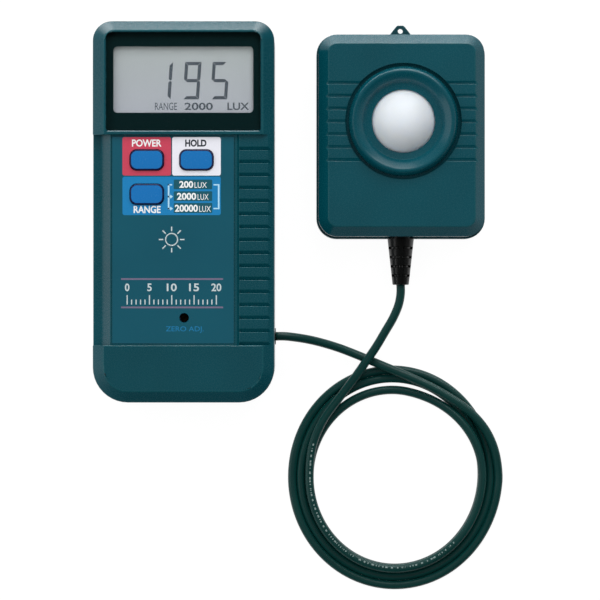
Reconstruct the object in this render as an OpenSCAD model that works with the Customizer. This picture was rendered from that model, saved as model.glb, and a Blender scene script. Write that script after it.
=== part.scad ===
// Hand-held lux meter with a separate light sensor on a coiled cord.
// Millimetres. X is right, Y is towards the display end, Z is up from the surface that both lie on.

/* [Meter body] */
// Width of the meter
body_w = 70; // [66:0.5:80]
// Length of the meter
body_l = 147; // [142:1:165]
// Depth of the meter, back to raised blocks
body_d = 36; // [34:0.5:42]
// Corner radius at the display end
corner_top = 7.5; // [6.5:0.5:10]
// Corner radius at the low end
corner_low = 13.6; // [10:0.2:16]
// Width of the sloped front edge, seen from the front
edge_in = 4.4; // [4:0.2:6]
// Width of that edge at the display end
edge_top = 3.7; // [3.4:0.1:5]
// Height of the sloped front edge
edge_down = 3.6; // [3.4:0.2:6]
// Slope of the edge round the back
back_in = 3; // [2:0.25:4]
// Side wall thickness
wall = 2.3; // [1.8:0.1:2.8]
// Height of the joint between the two cases
split_z = 17; // [15:0.5:19]
// Front thickness at the raised blocks
face_t = 3.4; // [3:0.1:4]

/* [Grip] */
// Length of the raised display block
block_top_l = 43.9; // [43:0.1:48]
// Length of the raised low block
block_low_l = 22.1; // [18:0.1:24]
// Height of the raised blocks above the panel
panel_step = 1.6; // [0.8:0.1:1.8]
// Width of the ledge on the left side
ledge_w = 3.1; // [2:0.1:3.6]
// Depth of that ledge below the panel
ledge_down = 4.4; // [3:0.1:5]
// Width of the slope between ledge and panel
slope_w = 3.8; // [3:0.1:4.5]
// Width of the rib field on the right side
rib_w = 11; // [8:0.2:11.4]
// Distance between grooves
rib_pitch = 5; // [4:0.1:7]
// Number of grooves
rib_n = 16; // [8:1:16]
// Width of one groove
rib_v = 1.5; // [0.8:0.1:2]
// Depth of one groove
rib_deep = 0.7; // [0.3:0.1:0.9]

/* [Display] */
// Window thickness
lens_t = 1.5; // [1:0.1:1.6]
// Margin beside the window
lens_side = 1; // [0.6:0.1:1.4]
// Margin below the window
lens_low = 1.7; // [1:0.1:2.5]
// Width of the visible display
view_w = 53.8; // [48:0.2:55]
// Height of the visible display
view_l = 25.5; // [20:0.5:27]
// Display glass border outside the view
glass_edge = 1.6; // [1.2:0.1:2]
// Display glass thickness
glass_t = 2.8; // [2:0.1:3.2]

/* [Legend and keys] */
// Legend plate thickness
plate_t = 0.6; // [0.4:0.1:0.8]
// Width of one printed field
field_w = 18.7; // [17:0.1:20]
// Height of one printed field
field_l = 14.8; // [13:0.1:16]
// Key width
key_w = 13; // [10:0.2:14]
// Key height
key_l = 7.9; // [6:0.1:9]
// Key corner radius
key_r = 2.8; // [1:0.1:3.4]
// Key height above the panel
key_up = 1; // [0.6:0.1:1.4]
// Key travel
key_travel = 0.8; // [0.4:0.1:1]
// Radius of the zero adjustment hole
zero_r = 1.85; // [1.6:0.05:2.4]

/* [Boards] */
// Space between the battery bay and the main board
bay_clear = 1.1; // [0.8:0.1:2]
// Board thickness
board_t = 1.6; // [1:0.1:2]
// Switch body size
switch_w = 6; // [5:0.5:7]
// Switch body height
switch_h = 3.5; // [2.5:0.1:3.5]

/* [Battery] */
// Battery width
cell_w = 26.5; // [24:0.5:27]
// Battery length without terminals
cell_l = 46.4; // [42:0.2:48]
// Battery thickness
cell_t = 17.5; // [15:0.5:17.5]
// Battery cover thickness
cover_t = 2; // [1.6:0.1:2.4]

/* [Sensor] */
// Sensor width
head_w = 66.3; // [62:0.1:72]
// Sensor length
head_l = 80.4; // [76:0.4:90]
// Sensor depth, back to front face
head_d = 22; // [21:0.5:27]
// Sensor corner radius
head_r = 8; // [6:0.5:12]
// Slope of the sensor's front edge
head_edge = 3.8; // [2.5:0.1:4.5]
// Step between the sensor's two cases
head_rim = 0.8; // [0.4:0.1:1.2]
// Height of the joint between the sensor's cases
head_split = 9; // [8:0.5:9.5]
// Outer radius of the raised ring
ring_r = 21.4; // [19:0.2:22]
// Height of the raised ring above the face
ring_up = 3.2; // [2:0.1:4]
// Radius of the white dome
dome_r = 12.1; // [11:0.1:12.6]
// Height of the dome above its rim
dome_up = 7.5; // [5:0.5:9]

/* [Cord] */
// Cord diameter
cord_d = 3.4; // [3:0.1:3.4]
// Length of the strain relief
boot_l = 18.1; // [14:0.1:18.1]
// Radius of the strain relief at the sensor
boot_r = 5.2; // [4.6:0.1:5.4]
// Radius of the strain relief at its end
boot_tip = 3.2; // [2.6:0.1:3.6]

/* [Hidden] */
$fn = 48;
arc_n = 10;

// Clearance between flat faces that slide or drop in
fit = 0.2;
// Clearance round screws and in case openings
loose = 0.3;
// Radial clearance of the trimmer
turn_fit = 0.08;
eps = 0.01;
// Least corner radius of an inner face
corner_min = 0.8;
// Corner radius of the front inside the sloped edge, at the display end
corner_face = 4.5;

// Battery bay in the rear case
floor_t = 2.3;
cover_drop = 0.3;
cover_z1 = cover_drop + cover_t;
track_z = cover_z1 + fit;
cell_gap = 0.1;
cell_z0 = track_z + cell_gap;
pad_t = 0.6;
pad_w = 18;
pad_end = 6;
bay_gap = 0.5;
bay_w = cell_w + 2 * bay_gap;
bay_wall = 1.5;
bay_z1 = cell_z0 + cell_t + pad_t;
bay_roof = 1.2;
bay_end = 4.7;
cell_y0 = -body_l / 2 + wall + bay_end;
cell_y1 = cell_y0 + cell_l;
terminal_h = 2.5;
terminal_x = 6.35;
stud_r = 2.85;
cup_r = 3.9;
snap_t = 2.2;
snap_edge = 2.5;
snap_side = 0.5;
collar_t = 1.2;
collar_l = 1.6;
snap_y0 = cell_y1 + terminal_h;
snap_y1 = snap_y0 + snap_t;
lead_room = 4.5;
bay_y0 = cell_y0 - bay_gap;
bay_y1 = snap_y1 + lead_room;
cover_side = 3;
cover_w = bay_w + 2 * cover_side;
cover_y1 = bay_y1 + cover_side;
tongue_w = 1.2;
tongue_t = 1;
tongue_end = 6;
grip_n = 5;
grip_w = 16;
grip_pitch = 2.4;
grip_v = 1.2;
grip_deep = 0.5;
grip_end = 14;
rail_w = 3.4;
rail_t = 1.8;
rail_z1 = track_z + rail_t;
lead_r = 0.7;
lead_hole_r = lead_r + 0.4;
lead_x = 5;
lead_run = 2.2;

// Heights in the meter
ceil_z = body_d - face_t;
panel_z = body_d - panel_step;
ledge_z = panel_z - ledge_down;
lens_drop = 0.3;
mask_t = 0.3;
pocket_z = body_d - lens_drop - lens_t - mask_t;
board_z0 = bay_z1 + bay_roof + bay_clear;
board_z1 = board_z0 + board_t;
glass_z = ceil_z - glass_t;
// How far the inside narrows towards the front, over the same height
cave_in = 5.6;
cave_z = ceil_z - cave_in;

// Plan of the meter's front
mid_y0 = -body_l / 2 + block_low_l;
mid_y1 = body_l / 2 - block_top_l;
slope_x = -body_w / 2 + ledge_w + slope_w;
rib_x1 = body_w / 2 - edge_in * (1 - panel_step / edge_down);
rib_x0 = rib_x1 - rib_w;
rib_y1 = mid_y0 + rib_v / 2 + rib_pitch * (rib_n - 1);
// How far a groove's lowest line lies off its middle, as a share of its width
groove_lean = 0.2;
bead_v = 0.9;
bead_deep = 0.5;
bead_w = 1.2;
bead_x = rib_x0 - bead_v / 2;
plate_edge = 0.7;
plate_x0 = slope_x + plate_edge;
plate_x1 = bead_x - bead_v / 2 - bead_w;
plate_y0 = mid_y0 + plate_edge;
plate_y1 = mid_y1 - plate_edge;
plate_z = panel_z - plate_t;

// Display
lens_w = body_w - 2 * edge_in - 2 * lens_side;
lens_y0 = mid_y1 + lens_low;
lens_top = 0.9;
lens_r = 2.2;
lens_y1 = body_l / 2 - edge_top - lens_top;
lens_l = lens_y1 - lens_y0;
lens_y = (lens_y0 + lens_y1) / 2;
view_up = 0.7;
view_y = lens_y + view_up;
view_r = 1.6;
glass_w = view_w + 2 * glass_edge;
glass_lip = 0.3;
glass_l = view_l + 2 * glass_edge + glass_lip;
view_gap = 0.8;
holder_t = 1;
holder_w = glass_w + 2 * (fit + holder_t);
holder_l = glass_l + 2 * (fit + holder_t);
strip_w = 1.5;
strip_end = 3;
strip_l = glass_w - 2 * strip_end;

// Printed fields and keys
field_t = 0.25;
field_r = 0.8;
field_gap = 0.4;
field_side = 4;
field_top = 0.2;
field_x0 = plate_x0 + field_side;
field_x1 = field_x0 + 2 * field_w + field_gap;
field_y1 = plate_y1 - field_top;
field_y0 = field_y1 - field_l;
range_y1 = field_y0 - field_gap;
range_y0 = range_y1 - field_l;
key_low = 1.4;
range_up = 0.6;
power_p = [field_x0 + field_w / 2, field_y0 + field_l / 2 - key_low];
hold_p = [field_x1 - field_w / 2, power_p[1]];
range_p = [power_p[0], range_y0 + field_l / 2 + range_up];
keys = [power_p, hold_p, range_p];
key_z1 = panel_z + key_up;
key_edge = 0.5;
flange_w = 1.2;
flange_t = 1;
flange_gap = 0.1;
flange_z = ceil_z - flange_gap - flange_t;
stem_r = 2;
switch_z1 = board_z1 + switch_h;
plunger_r = 1.7;
plunger_up = 1.2;
plunger_z = switch_z1 + plunger_up;
plunger_in = 1.1;
plunger_room = 0.3;
zero_x = 0.3;
zero_up = 10.6;
zero_p = [zero_x, mid_y0 + zero_up];
trimmer_w = 7;
trimmer_h = 5;
rotor_r = 1.5;
rotor_in = 2.5;
rotor_low = 1;
rotor_z1 = panel_z - rotor_low;
slot_w = 0.6;
slot_deep = 0.7;
slot_turn = 35;

// Screws that hold the meter's cases
post_r = 4;
boss_r = 3.6;
post_root = 0.5;
tip_room = 0.6;
screw_r = 1.4;
screw_head_r = 2.7;
screw_head_h = 2.2;
head_hole_r = screw_head_r + loose;
screw_hole_r = screw_r + loose;
screw_seat = 8;
screw_in = 8;
cross_w = 0.7;
cross_deep = 0.8;
hole_x1 = body_w / 2 - wall - 4.9;
hole_y1 = mid_y1 - 3;
hole_x0 = body_w / 2 - wall - 9.2;
hole_y0 = -body_l / 2 + wall + 9.7;
case_holes = [[-hole_x1, hole_y1], [hole_x1, hole_y1], [-hole_x0, hole_y0], [hole_x0, hole_y0]];

// Main board
board_side = 1.7;
board_low = 2;
board_top = 4.2;
board_w = body_w - 2 * wall - 2 * board_side;
board_y0 = mid_y0 + board_low;
board_y1 = body_l / 2 - wall - board_top;
notch_gap = 0.6;
board_post_r = 3;
board_screw_r = 1.2;
board_head_r = 2.3;
board_head_h = 1.6;
board_hole_r = board_screw_r + loose;
board_screw_in = 4.5;
board_hole_x = board_w / 2 - 5.5;
board_hole_y1 = range_p[1] + 1.4;
board_hole_y0 = board_y0 + 6;
board_holes = [[-board_hole_x, board_hole_y1], [board_hole_x, board_hole_y1],
    [-board_hole_x, board_hole_y0], [board_hole_x, board_hole_y0]];
chip_w = 18;
chip_l = 9;
chip_t = 2.6;
can_r = 3.15;
can_h = 7.5;
can_xs = [-20, -12, 16];
can_down = 12;

// Cord entry in the meter
exit_up = 3.2;
exit_y = mid_y0 + exit_up;
exit_z = 12;
grommet_r = 3.2;
grommet_lip = 0.4;
grommet_in = 1.8;
grommet_flange = 4.4;
grommet_fit = 0.1;
pad_edge = 0.4;
exit_pad = 0.7;
exit_x = body_w / 2 - wall - exit_pad;
tail_x1 = exit_x - grommet_in;
tail_l = 6;
wire_r = 0.5;
wire_gap = 0.8;
wire_run = 1.4;

// Sensor, about its own middle
head_x = 84.5;
head_y = 30.3;
head_wall = 2.2;
head_face = 3.6;
head_back = 2;
head_ceil = head_d - head_face;
head_floor = 2.2;
head_cave = 3;
ring_x = 0.65;
ring_y = 5.35;
ring_p = [ring_x, ring_y];
ring_gap = 1.25;
ring_deep = 1.5;
ring_z0 = head_d - ring_deep;
ring_foot = 0.2;
ring_slope = 1.75;
ring_crest = 0.6;
ring_edge = 0.5;
ring_soft = 0.35;
ring_flare = 0.2;
ring_fit = 0.05;
dish_up = 0.6;
dish_t = 0.75;
dish_w = 3.3;
dish_r = dome_r + dish_w;
dome_gap = 0.2;
dome_hole = dome_r + dome_gap;
dome_flange_w = 2.5;
flange_r = dome_r + dome_flange_w;
seat_deep = 0.9;
seat_z = ring_z0 - seat_deep;
seat_hole = 0.8;
seat_r = flange_r + loose;
dome_flange_t = 1.25;
dome_flange_z = seat_z + dome_flange_t;
dome_rim = 0.3;
dome_z = dome_flange_z + dome_rim;
dome_ball = (dome_r * dome_r + dome_up * dome_up) / (2 * dome_up);
dome_c = dome_z + dome_up - dome_ball;
dome_wall = 1.8;
dome_bore = sqrt(pow(dome_ball - dome_wall, 2) - pow(dome_z - dome_c, 2)) - 0.2;
groove_n = 7;
groove_pitch = 5;
groove_v = 1.4;
groove_deep = 0.6;
head_hole_side = 8.5;
head_hole_end = 9.5;
head_hole_x = head_w / 2 - head_hole_side;
head_hole_y = head_l / 2 - head_hole_end;
head_holes = [[-head_hole_x, -head_hole_y], [head_hole_x, -head_hole_y],
    [-head_hole_x, head_hole_y], [head_hole_x, head_hole_y]];
head_post_r = 3.6;
head_seat = 4;
head_screw_in = 5;
chip_board_t = 1.6;
chip_gap = 4.8;
chip_board_z1 = head_ceil - chip_gap;
chip_board_z0 = chip_board_z1 - chip_board_t;
chip_post_r = 2.6;
chip_post_x = seat_r + 3.2;
chip_posts = [for (s = [-1, 1]) [ring_x + s * chip_post_x, ring_y]];
chip_board_w = 2 * (chip_post_x + 4);
chip_screw_in = 3;
chip_board_l = 24;
diode_w = 12;
diode_t = 2.4;
filter_w = 10;
filter_t = 1.5;
tab_w = 8.8;
tab_l = 3.9;
tab_t = 3;
tab_tip = 1.2;
tab_nose = 0.7;
tab_z = 3;
eye_r = 1;
eye_out = 1.7;
eye_y = head_l / 2 + eye_out;

// Strain relief
boot_z = head_split;
boot_neck = boot_r - 1.1;
boot_flange = boot_r + 0.4;
boot_flange_t = 2;
boot_rings = 5;
boot_slot = 0.8;
boot_groove = 0.9;
boot_spine = 1.4;
head_lead_x = 1.2;
head_lead_in = 2;
head_y0 = head_y - head_l / 2;
boot_y1 = head_y0 - boot_l;
boot_in_y = head_y0 + head_rim + head_wall + boot_flange_t;
boot_root = boot_in_y - head_y0;

// Cord route: meter to coil, coil, coil to sensor
low_z = cord_d / 2 + 0.05;
coil_x = 81.9;
coil_y = -103.4;
coil_r0 = 41.8;
coil_pitch = cord_d;
coil_tall = 2.55;
coil_dip = 1.2;
dip_at = 2.5;
dip_run = 0.25;
climb_at = 2.78;
climb_run = 0.22;
stack_at = 2.75;
stack_run = 0.2;
stack_up = cord_d + 0.02;
coil_turns = 3.5;
coil_step = 24;
start_lift = 1.3;
start_run = 0.09;
cord_x0 = body_w / 2 + grommet_lip;
out_pts = [
    [cord_x0, exit_y, exit_z], [cord_x0 + cord_d, exit_y, exit_z], [44, -48.8, 10.6], [49, -49.7, 8.4],
    [54.5, -51.1, 6], [60.5, -53, 4.2], [67, -55.5, 3.3], [73, -58, 3.9], [78.5, -60.3, 5.2],
    [84.5, -62.8, 5.7], [91, -65.6, 5.7], [98, -69, 5.7], [104, -72.5, 5.7], [109, -75.8, 5.7],
    [114.2, -80.3, 5.6], [118.8, -86.3, 5.2], [122, -94, 4.4],
    [coil_x + coil_r0, coil_y, low_z + start_lift]
];
in_pts = [
    [coil_x - coil_r(coil_turns), coil_y, low_z + stack_up], [49, -96.4, 5.6], [50, -90.9, 5.7],
    [52, -85.4, 5.7], [55, -79.8, 5.7], [59, -74.4, 5.8], [63.2, -68.9, 6.1], [67.4, -63.3, 6.9],
    [71.2, -57.8, 7.7], [75, -52.2, 8.3], [78.3, -46.6, 8.7], [81.5, -41.1, 8.9], [83.7, -35.8, 9],
    [head_x, boot_y1 - cord_d, boot_z], [head_x, boot_y1, boot_z]
];

function ramp(u) = let (v = max(0, min(1, u))) v * v * (3 - 2 * v);
function climb(t) = ramp((t - climb_at) / climb_run);
function coil_r(t) = coil_r0 - coil_pitch * (t - climb(t))
    - coil_dip * ramp((t - dip_at) / dip_run) * (1 - climb(t));
function coil_z(t) = low_z + start_lift * (1 - ramp(t / start_run))
    + stack_up * ramp((t - stack_at) / stack_run);
function coil_p(t) = [coil_x + coil_r(t) * cos(360 * t), coil_y - (coil_r(t) + coil_tall) * sin(360 * t),
    coil_z(t)];
coil_n = coil_turns * coil_step;
coil_pts = [for (i = [0 : coil_n]) coil_p(i / coil_step)];
coil_gap = min([for (i = [0 : coil_n - 13]) min([for (j = [i + 13 : coil_n])
    norm(coil_pts[i] - coil_pts[j])])]) - cord_d;
echo(coil_gap = coil_gap);

function boot_core(u) = boot_r - (boot_r - boot_tip) * u / boot_l - boot_groove;
function unit(v) = v / norm(v);
function heading(p, i, t0, t1) = i == 0 ? t0 : i == len(p) - 1 ? t1 : unit(p[i + 1] - p[i - 1]);
function hoop(c, t, n) = let (s = unit(cross([0, 0, 1], t)), u = cross(t, s))
    [for (k = [0 : n - 1]) c + cord_d / 2 * (cos(360 * (k + 0.5) / n) * s + sin(360 * (k + 0.5) / n) * u)];

function arc(cx, cy, r, a) = [for (i = [0 : arc_n]) [cx + r * cos(a + 90 * i / arc_n),
    cy + r * sin(a + 90 * i / arc_n)]];
function outline(w, l, rt, rb) = concat(
    arc(w / 2 - rt, l / 2 - rt, rt, 0), arc(rt - w / 2, l / 2 - rt, rt, 90),
    arc(rb - w / 2, rb - l / 2, rb, 180), arc(w / 2 - rb, rb - l / 2, rb, 270));

module slab(w, l, rt, rb, z0, z1) {
    translate([0, 0, z0]) linear_extrude(z1 - z0) polygon(outline(w, l, rt, rb));
}

module body_slab(inset, z0, z1) {
    slab(body_w - 2 * inset, body_l - 2 * inset, max(corner_min, corner_top - inset),
        max(corner_min, corner_low - inset), z0, z1);
}

// The raised blocks' front, inside the sloped edge
module front_slab(z0, z1) {
    translate([0, (edge_in - edge_top) / 2, 0]) slab(body_w - 2 * edge_in, body_l - edge_in - edge_top,
        corner_face, max(corner_min, corner_low - edge_in), z0, z1);
}

module head_slab(inset, z0, z1) {
    r = max(corner_min, head_r - inset);
    translate([head_x, head_y, 0]) slab(head_w - 2 * inset, head_l - 2 * inset, r, r, z0, z1);
}

// A box from one corner to the other
module span(x0, x1, y0, y1, z0, z1) {
    translate([x0, y0, z0]) cube([x1 - x0, y1 - y0, z1 - z0]);
}

// A profile in X and Z, carried along Y
module along_y(y0, y1) {
    translate([0, y1, 0]) rotate([90, 0, 0]) linear_extrude(y1 - y0) children();
}

// A profile in Y and Z, carried along X
module along_x(x0, x1) {
    translate([x0, 0, 0]) rotate([90, 0, 90]) linear_extrude(x1 - x0) children();
}

module vee(at, w, deep, z, lean = 0) {
    polygon([[at - w / 2, z], [at - lean * w, z - deep], [at + w / 2, z], [at + w / 2, z + 1],
        [at - w / 2, z + 1]]);
}

module pin(p, r, z0, z1) {
    translate([p[0], p[1], z0]) cylinder(r = r, h = z1 - z0);
}

module key_shape(p, grow, z0, z1) {
    translate([p[0], p[1], 0]) slab(key_w + 2 * grow, key_l + 2 * grow, key_r, key_r, z0, z1);
}

// A screw that points up, with its head's underside seat at z
module screw(p, r, head_r, head_h, z, z1) {
    difference() {
        union() {
            pin(p, head_r, z - head_h, z);
            pin(p, r, z - eps, z1);
        }
        for (a = [0, 90]) translate([p[0], p[1], z - head_h]) rotate([0, 0, a])
            cube([1.2 * head_r, cross_w, 2 * cross_deep], center = true);
    }
}

// A wire that leaves a face at p along a direction in plan and then turns up
module wire(p, d, run, z1, r) {
    translate(p) rotate([90, 0, atan2(d[1], d[0]) + 90]) cylinder(r = r, h = run);
    translate(p + run * d) sphere(r = r * 1.08);
    pin(p + run * d, r, p[2], z1);
}

module tube(p, n, t0, t1) {
    pts = [for (i = [0 : len(p) - 1]) each hoop(p[i], heading(p, i, t0, t1), n)];
    last = len(p) - 1;
    sides = [for (i = [0 : last - 1], k = [0 : n - 1]) let (a = i * n + k, b = i * n + (k + 1) % n)
        each [[a, a + n, b + n], [a, b + n, b]]];
    first_cap = [for (k = [0 : n - 1]) k];
    last_cap = [for (k = [n - 1 : -1 : 0]) last * n + k];
    polyhedron(pts, concat([first_cap], sides, [last_cap]));
}

module front_case() {
    color("#0b4a52") difference() {
        union() {
            difference() {
                hull() {
                    body_slab(0, split_z, body_d - edge_down);
                    front_slab(body_d - eps, body_d);
                }
                hull() {
                    body_slab(wall, split_z - 1, cave_z);
                    body_slab(wall + cave_in, ceil_z - eps, ceil_z);
                }
                span(-holder_w / 2 - loose, holder_w / 2 + loose, view_y - holder_l / 2 - loose,
                    view_y + holder_l / 2 + loose, cave_z - 1, ceil_z);
            }
            for (p = case_holes) pin(p, boss_r, split_z, ceil_z + post_root);
            for (p = board_holes) pin(p, board_post_r, board_z1, ceil_z + post_root);
        }
        span(-body_w, body_w, mid_y0, mid_y1, panel_z, body_d + 1);
        along_y(mid_y0, mid_y1) polygon([[-body_w, ledge_z], [ledge_w - body_w / 2, ledge_z],
            [slope_x, panel_z], [slope_x, body_d + 1], [-body_w, body_d + 1]]);
        for (i = [0 : rib_n - 1]) along_x(rib_x0, body_w / 2 + 1)
            vee(rib_y1 - i * rib_pitch, rib_v, rib_deep, panel_z, groove_lean);
        along_y(mid_y0, mid_y1) vee(bead_x, bead_v, bead_deep, panel_z);
        span(plate_x0 - fit, plate_x1 + fit, plate_y0 - fit, plate_y1 + fit, plate_z, body_d);
        for (p = keys) key_shape(p, fit, ceil_z - 1, body_d);
        pin(zero_p, zero_r, ceil_z - 1, body_d);
        lens_shape(fit, pocket_z, body_d + 1);
        translate([0, view_y, 0])
            slab(view_w + 2 * view_gap, view_l + 2 * view_gap, view_r, view_r, ceil_z - 1, body_d);
        for (p = case_holes) pin(p, screw_hole_r, split_z - 1, split_z + screw_in + tip_room);
        for (p = board_holes) pin(p, board_hole_r, board_z1 - 1, board_z1 + board_screw_in + tip_room);
    }
}

module rear_shell() {
    hull() {
        body_slab(back_in, 0, eps);
        body_slab(0, back_in, split_z);
    }
}

module rear_case() {
    color("#0b444c") difference() {
        union() {
            difference() {
                rear_shell();
                body_slab(wall, floor_t, split_z + 1);
            }
            for (p = case_holes) pin(p, post_r, floor_t / 2, split_z);
            span(-cover_w / 2 - rail_w, cover_w / 2 + rail_w, -body_l / 2 + wall / 2,
                cover_y1 + rail_w, floor_t / 2, rail_z1);
            span(-bay_w / 2 - bay_wall, bay_w / 2 + bay_wall, bay_y0 - bay_wall, bay_y1 + bay_wall,
                floor_t, bay_z1 + bay_roof);
            translate([body_w / 2 - wall / 2, exit_y, exit_z]) rotate([0, -90, 0])
                cylinder(r = grommet_flange + pad_edge, h = exit_pad + wall / 2);
        }
        span(-bay_w / 2, bay_w / 2, bay_y0, bay_y1, floor_t - 1, bay_z1);
        span(-cover_w / 2 - fit, cover_w / 2 + fit, -body_l, cover_y1 + fit, -1, track_z);
        span(-cover_w / 2 - tongue_w - loose, cover_w / 2 + tongue_w + loose, -body_l, cover_y1 + fit,
            cover_z1 - tongue_t - fit, track_z);
        for (x = [-lead_x, lead_x])
            pin([x, snap_y1 + lead_run], lead_hole_r, bay_z1 - 1, bay_z1 + bay_roof + 1);
        for (p = case_holes) {
            pin(p, head_hole_r, -1, screw_seat);
            pin(p, screw_hole_r, screw_seat - 1, split_z + 1);
        }
        translate([body_w / 2 + 1, exit_y, exit_z]) rotate([0, -90, 0])
            cylinder(r = grommet_r + grommet_fit, h = wall + exit_pad + 2);
    }
}

module battery_cover() {
    color("#0a3f47") difference() {
        union() {
            intersection() {
                rear_shell();
                span(-cover_w / 2, cover_w / 2, -body_l, cover_y1, cover_drop, cover_z1);
            }
            span(-cover_w / 2 - tongue_w, cover_w / 2 + tongue_w, -body_l / 2 + tongue_end, cover_y1,
                cover_z1 - tongue_t, cover_z1);
        }
        for (i = [0 : grip_n - 1]) translate([-grip_w / 2, -body_l / 2 + grip_end + grip_pitch * i, -1])
            cube([grip_w, grip_v, cover_drop + grip_deep + 1]);
    }
}

module case_screws() {
    color("#9aa0a3") for (p = case_holes)
        screw(p, screw_r, screw_head_r, screw_head_h, screw_seat, split_z + screw_in);
}

module lens_shape(grow, z0, z1) {
    translate([0, lens_y, 0])
        slab(lens_w + 2 * grow, lens_l + 2 * grow, lens_r + grow, corner_min + grow, z0, z1);
}

module window_lens() {
    color("#e8f2f0") lens_shape(0, pocket_z + mask_t, body_d - lens_drop);
}

module display_mask() {
    color("#062a2a") difference() {
        lens_shape(0, pocket_z, pocket_z + mask_t);
        translate([0, view_y, 0]) slab(view_w, view_l, view_r, view_r, pocket_z - 1, body_d);
    }
}

module lcd_panel() {
    color("#b4bab8")
        span(-glass_w / 2, glass_w / 2, view_y - glass_l / 2, view_y + glass_l / 2, glass_z, ceil_z);
}

module display_holder() {
    color("#d8d8d2") difference() {
        span(-holder_w / 2, holder_w / 2, view_y - holder_l / 2, view_y + holder_l / 2, board_z1, ceil_z);
        span(-glass_w / 2 - fit, glass_w / 2 + fit, view_y - glass_l / 2 - fit,
            view_y + glass_l / 2 + fit, board_z1 - 1, ceil_z + 1);
    }
}

module contact_strips() {
    color("#3a3a40") for (s = [-1, 1])
        translate([-strip_l / 2, view_y + s * (glass_l / 2 - strip_w) - strip_w / 2, board_z1])
            cube([strip_l, strip_w, glass_z - board_z1]);
}

module main_board() {
    color("#1f6b3a") difference() {
        span(-board_w / 2, board_w / 2, board_y0, board_y1, board_z0, board_z1);
        for (p = case_holes) pin(p, boss_r + notch_gap, board_z0 - 1, board_z1 + 1);
        for (p = board_holes) pin(p, board_hole_r, board_z0 - 1, board_z1 + 1);
    }
}

module board_screws() {
    color("#b9bcbe") for (p = board_holes)
        screw(p, board_screw_r, board_head_r, board_head_h, board_z0, board_z1 + board_screw_in);
}

// A thin sheet between two corners, with rounded corners
module sheet(x0, x1, y0, y1, z0, z1) {
    translate([(x0 + x1) / 2, (y0 + y1) / 2, 0]) slab(x1 - x0, y1 - y0, field_r, field_r, z0, z1);
}

module power_shape(z0, z1) {
    sheet(field_x0, field_x0 + field_w, field_y0, field_y1, z0, z1);
}

module hold_shape(z0, z1) {
    sheet(field_x1 - field_w, field_x1, field_y0, field_y1, z0, z1);
}

module range_shape(z0, z1) {
    sheet(field_x0, field_x1, range_y0, range_y1, z0, z1);
}

// What the keys and the zero adjustment take out of the legend
module legend_holes() {
    for (p = keys) key_shape(p, fit, plate_z - 1, panel_z + 1);
    pin(zero_p, zero_r, plate_z - 1, panel_z + 1);
}

module legend_plate() {
    color("#0d5560") difference() {
        span(plate_x0, plate_x1, plate_y0, plate_y1, plate_z, panel_z);
        legend_holes();
        power_shape(panel_z - field_t, panel_z + 1);
        hold_shape(panel_z - field_t, panel_z + 1);
        range_shape(panel_z - field_t, panel_z + 1);
    }
}

module power_field() {
    color("#c43c52") difference() {
        power_shape(panel_z - field_t, panel_z);
        legend_holes();
    }
}

module hold_field() {
    color("#e2e2ea") difference() {
        hold_shape(panel_z - field_t, panel_z);
        legend_holes();
    }
}

module range_field() {
    color("#1576b4") difference() {
        range_shape(panel_z - field_t, panel_z);
        legend_holes();
    }
}

module button(p) {
    color("#0d6fb8") {
        hull() {
            key_shape(p, 0, flange_z + flange_t - eps, key_z1 - key_edge);
            key_shape(p, -key_edge, key_z1 - eps, key_z1);
        }
        key_shape(p, flange_w, flange_z, flange_z + flange_t);
        pin(p, stem_r, plunger_z, flange_z + eps);
    }
}

module power_button() { button(power_p); }
module hold_button() { button(hold_p); }
module range_button() { button(range_p); }

module plunger(p) {
    color("#202024") pin(p, plunger_r, switch_z1 - plunger_in, plunger_z);
}

module power_plunger() { plunger(power_p); }
module hold_plunger() { plunger(hold_p); }
module range_plunger() { plunger(range_p); }

module key_switches() {
    color("#4a4a4e") for (p = keys) difference() {
        span(p[0] - switch_w / 2, p[0] + switch_w / 2, p[1] - switch_w / 2, p[1] + switch_w / 2,
            board_z1, switch_z1);
        pin(p, plunger_r + loose, switch_z1 - plunger_in - key_travel - plunger_room, switch_z1 + 1);
    }
}

module trimmer_body() {
    color("#2f5fa8") difference() {
        translate([zero_p[0] - trimmer_w / 2, zero_p[1] - trimmer_w / 2, board_z1])
            cube([trimmer_w, trimmer_w, trimmer_h]);
        pin(zero_p, rotor_r + turn_fit, board_z1 + trimmer_h - rotor_in, board_z1 + trimmer_h + 1);
    }
}

module trimmer_rotor() {
    color("#d9c9a0") difference() {
        pin(zero_p, rotor_r, board_z1 + trimmer_h - rotor_in + turn_fit, rotor_z1);
        translate([zero_p[0], zero_p[1], rotor_z1]) rotate([0, 0, slot_turn])
            cube([2 * rotor_r + 1, slot_w, 2 * slot_deep], center = true);
    }
}

module meter_chip() {
    color("#18181a")
        span(-chip_w / 2, chip_w / 2, view_y - chip_l / 2, view_y + chip_l / 2, board_z0 - chip_t, board_z0);
}

module board_capacitors() {
    color("#22304a") for (x = can_xs) pin([x, mid_y1 - can_down], can_r, board_z0 - can_h, board_z0);
}

module battery() {
    color("#2b2b2e") {
        span(-cell_w / 2, cell_w / 2, cell_y0, cell_y1, cell_z0, cell_z0 + cell_t);
        translate([-terminal_x, cell_y1 - eps, cell_z0 + cell_t / 2]) rotate([-90, 0, 0])
            cylinder(r = stud_r, h = terminal_h + eps);
        translate([terminal_x, cell_y1 - eps, cell_z0 + cell_t / 2]) rotate([-90, 0, 0])
            cylinder(r = cup_r, h = terminal_h + eps);
    }
}

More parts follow.
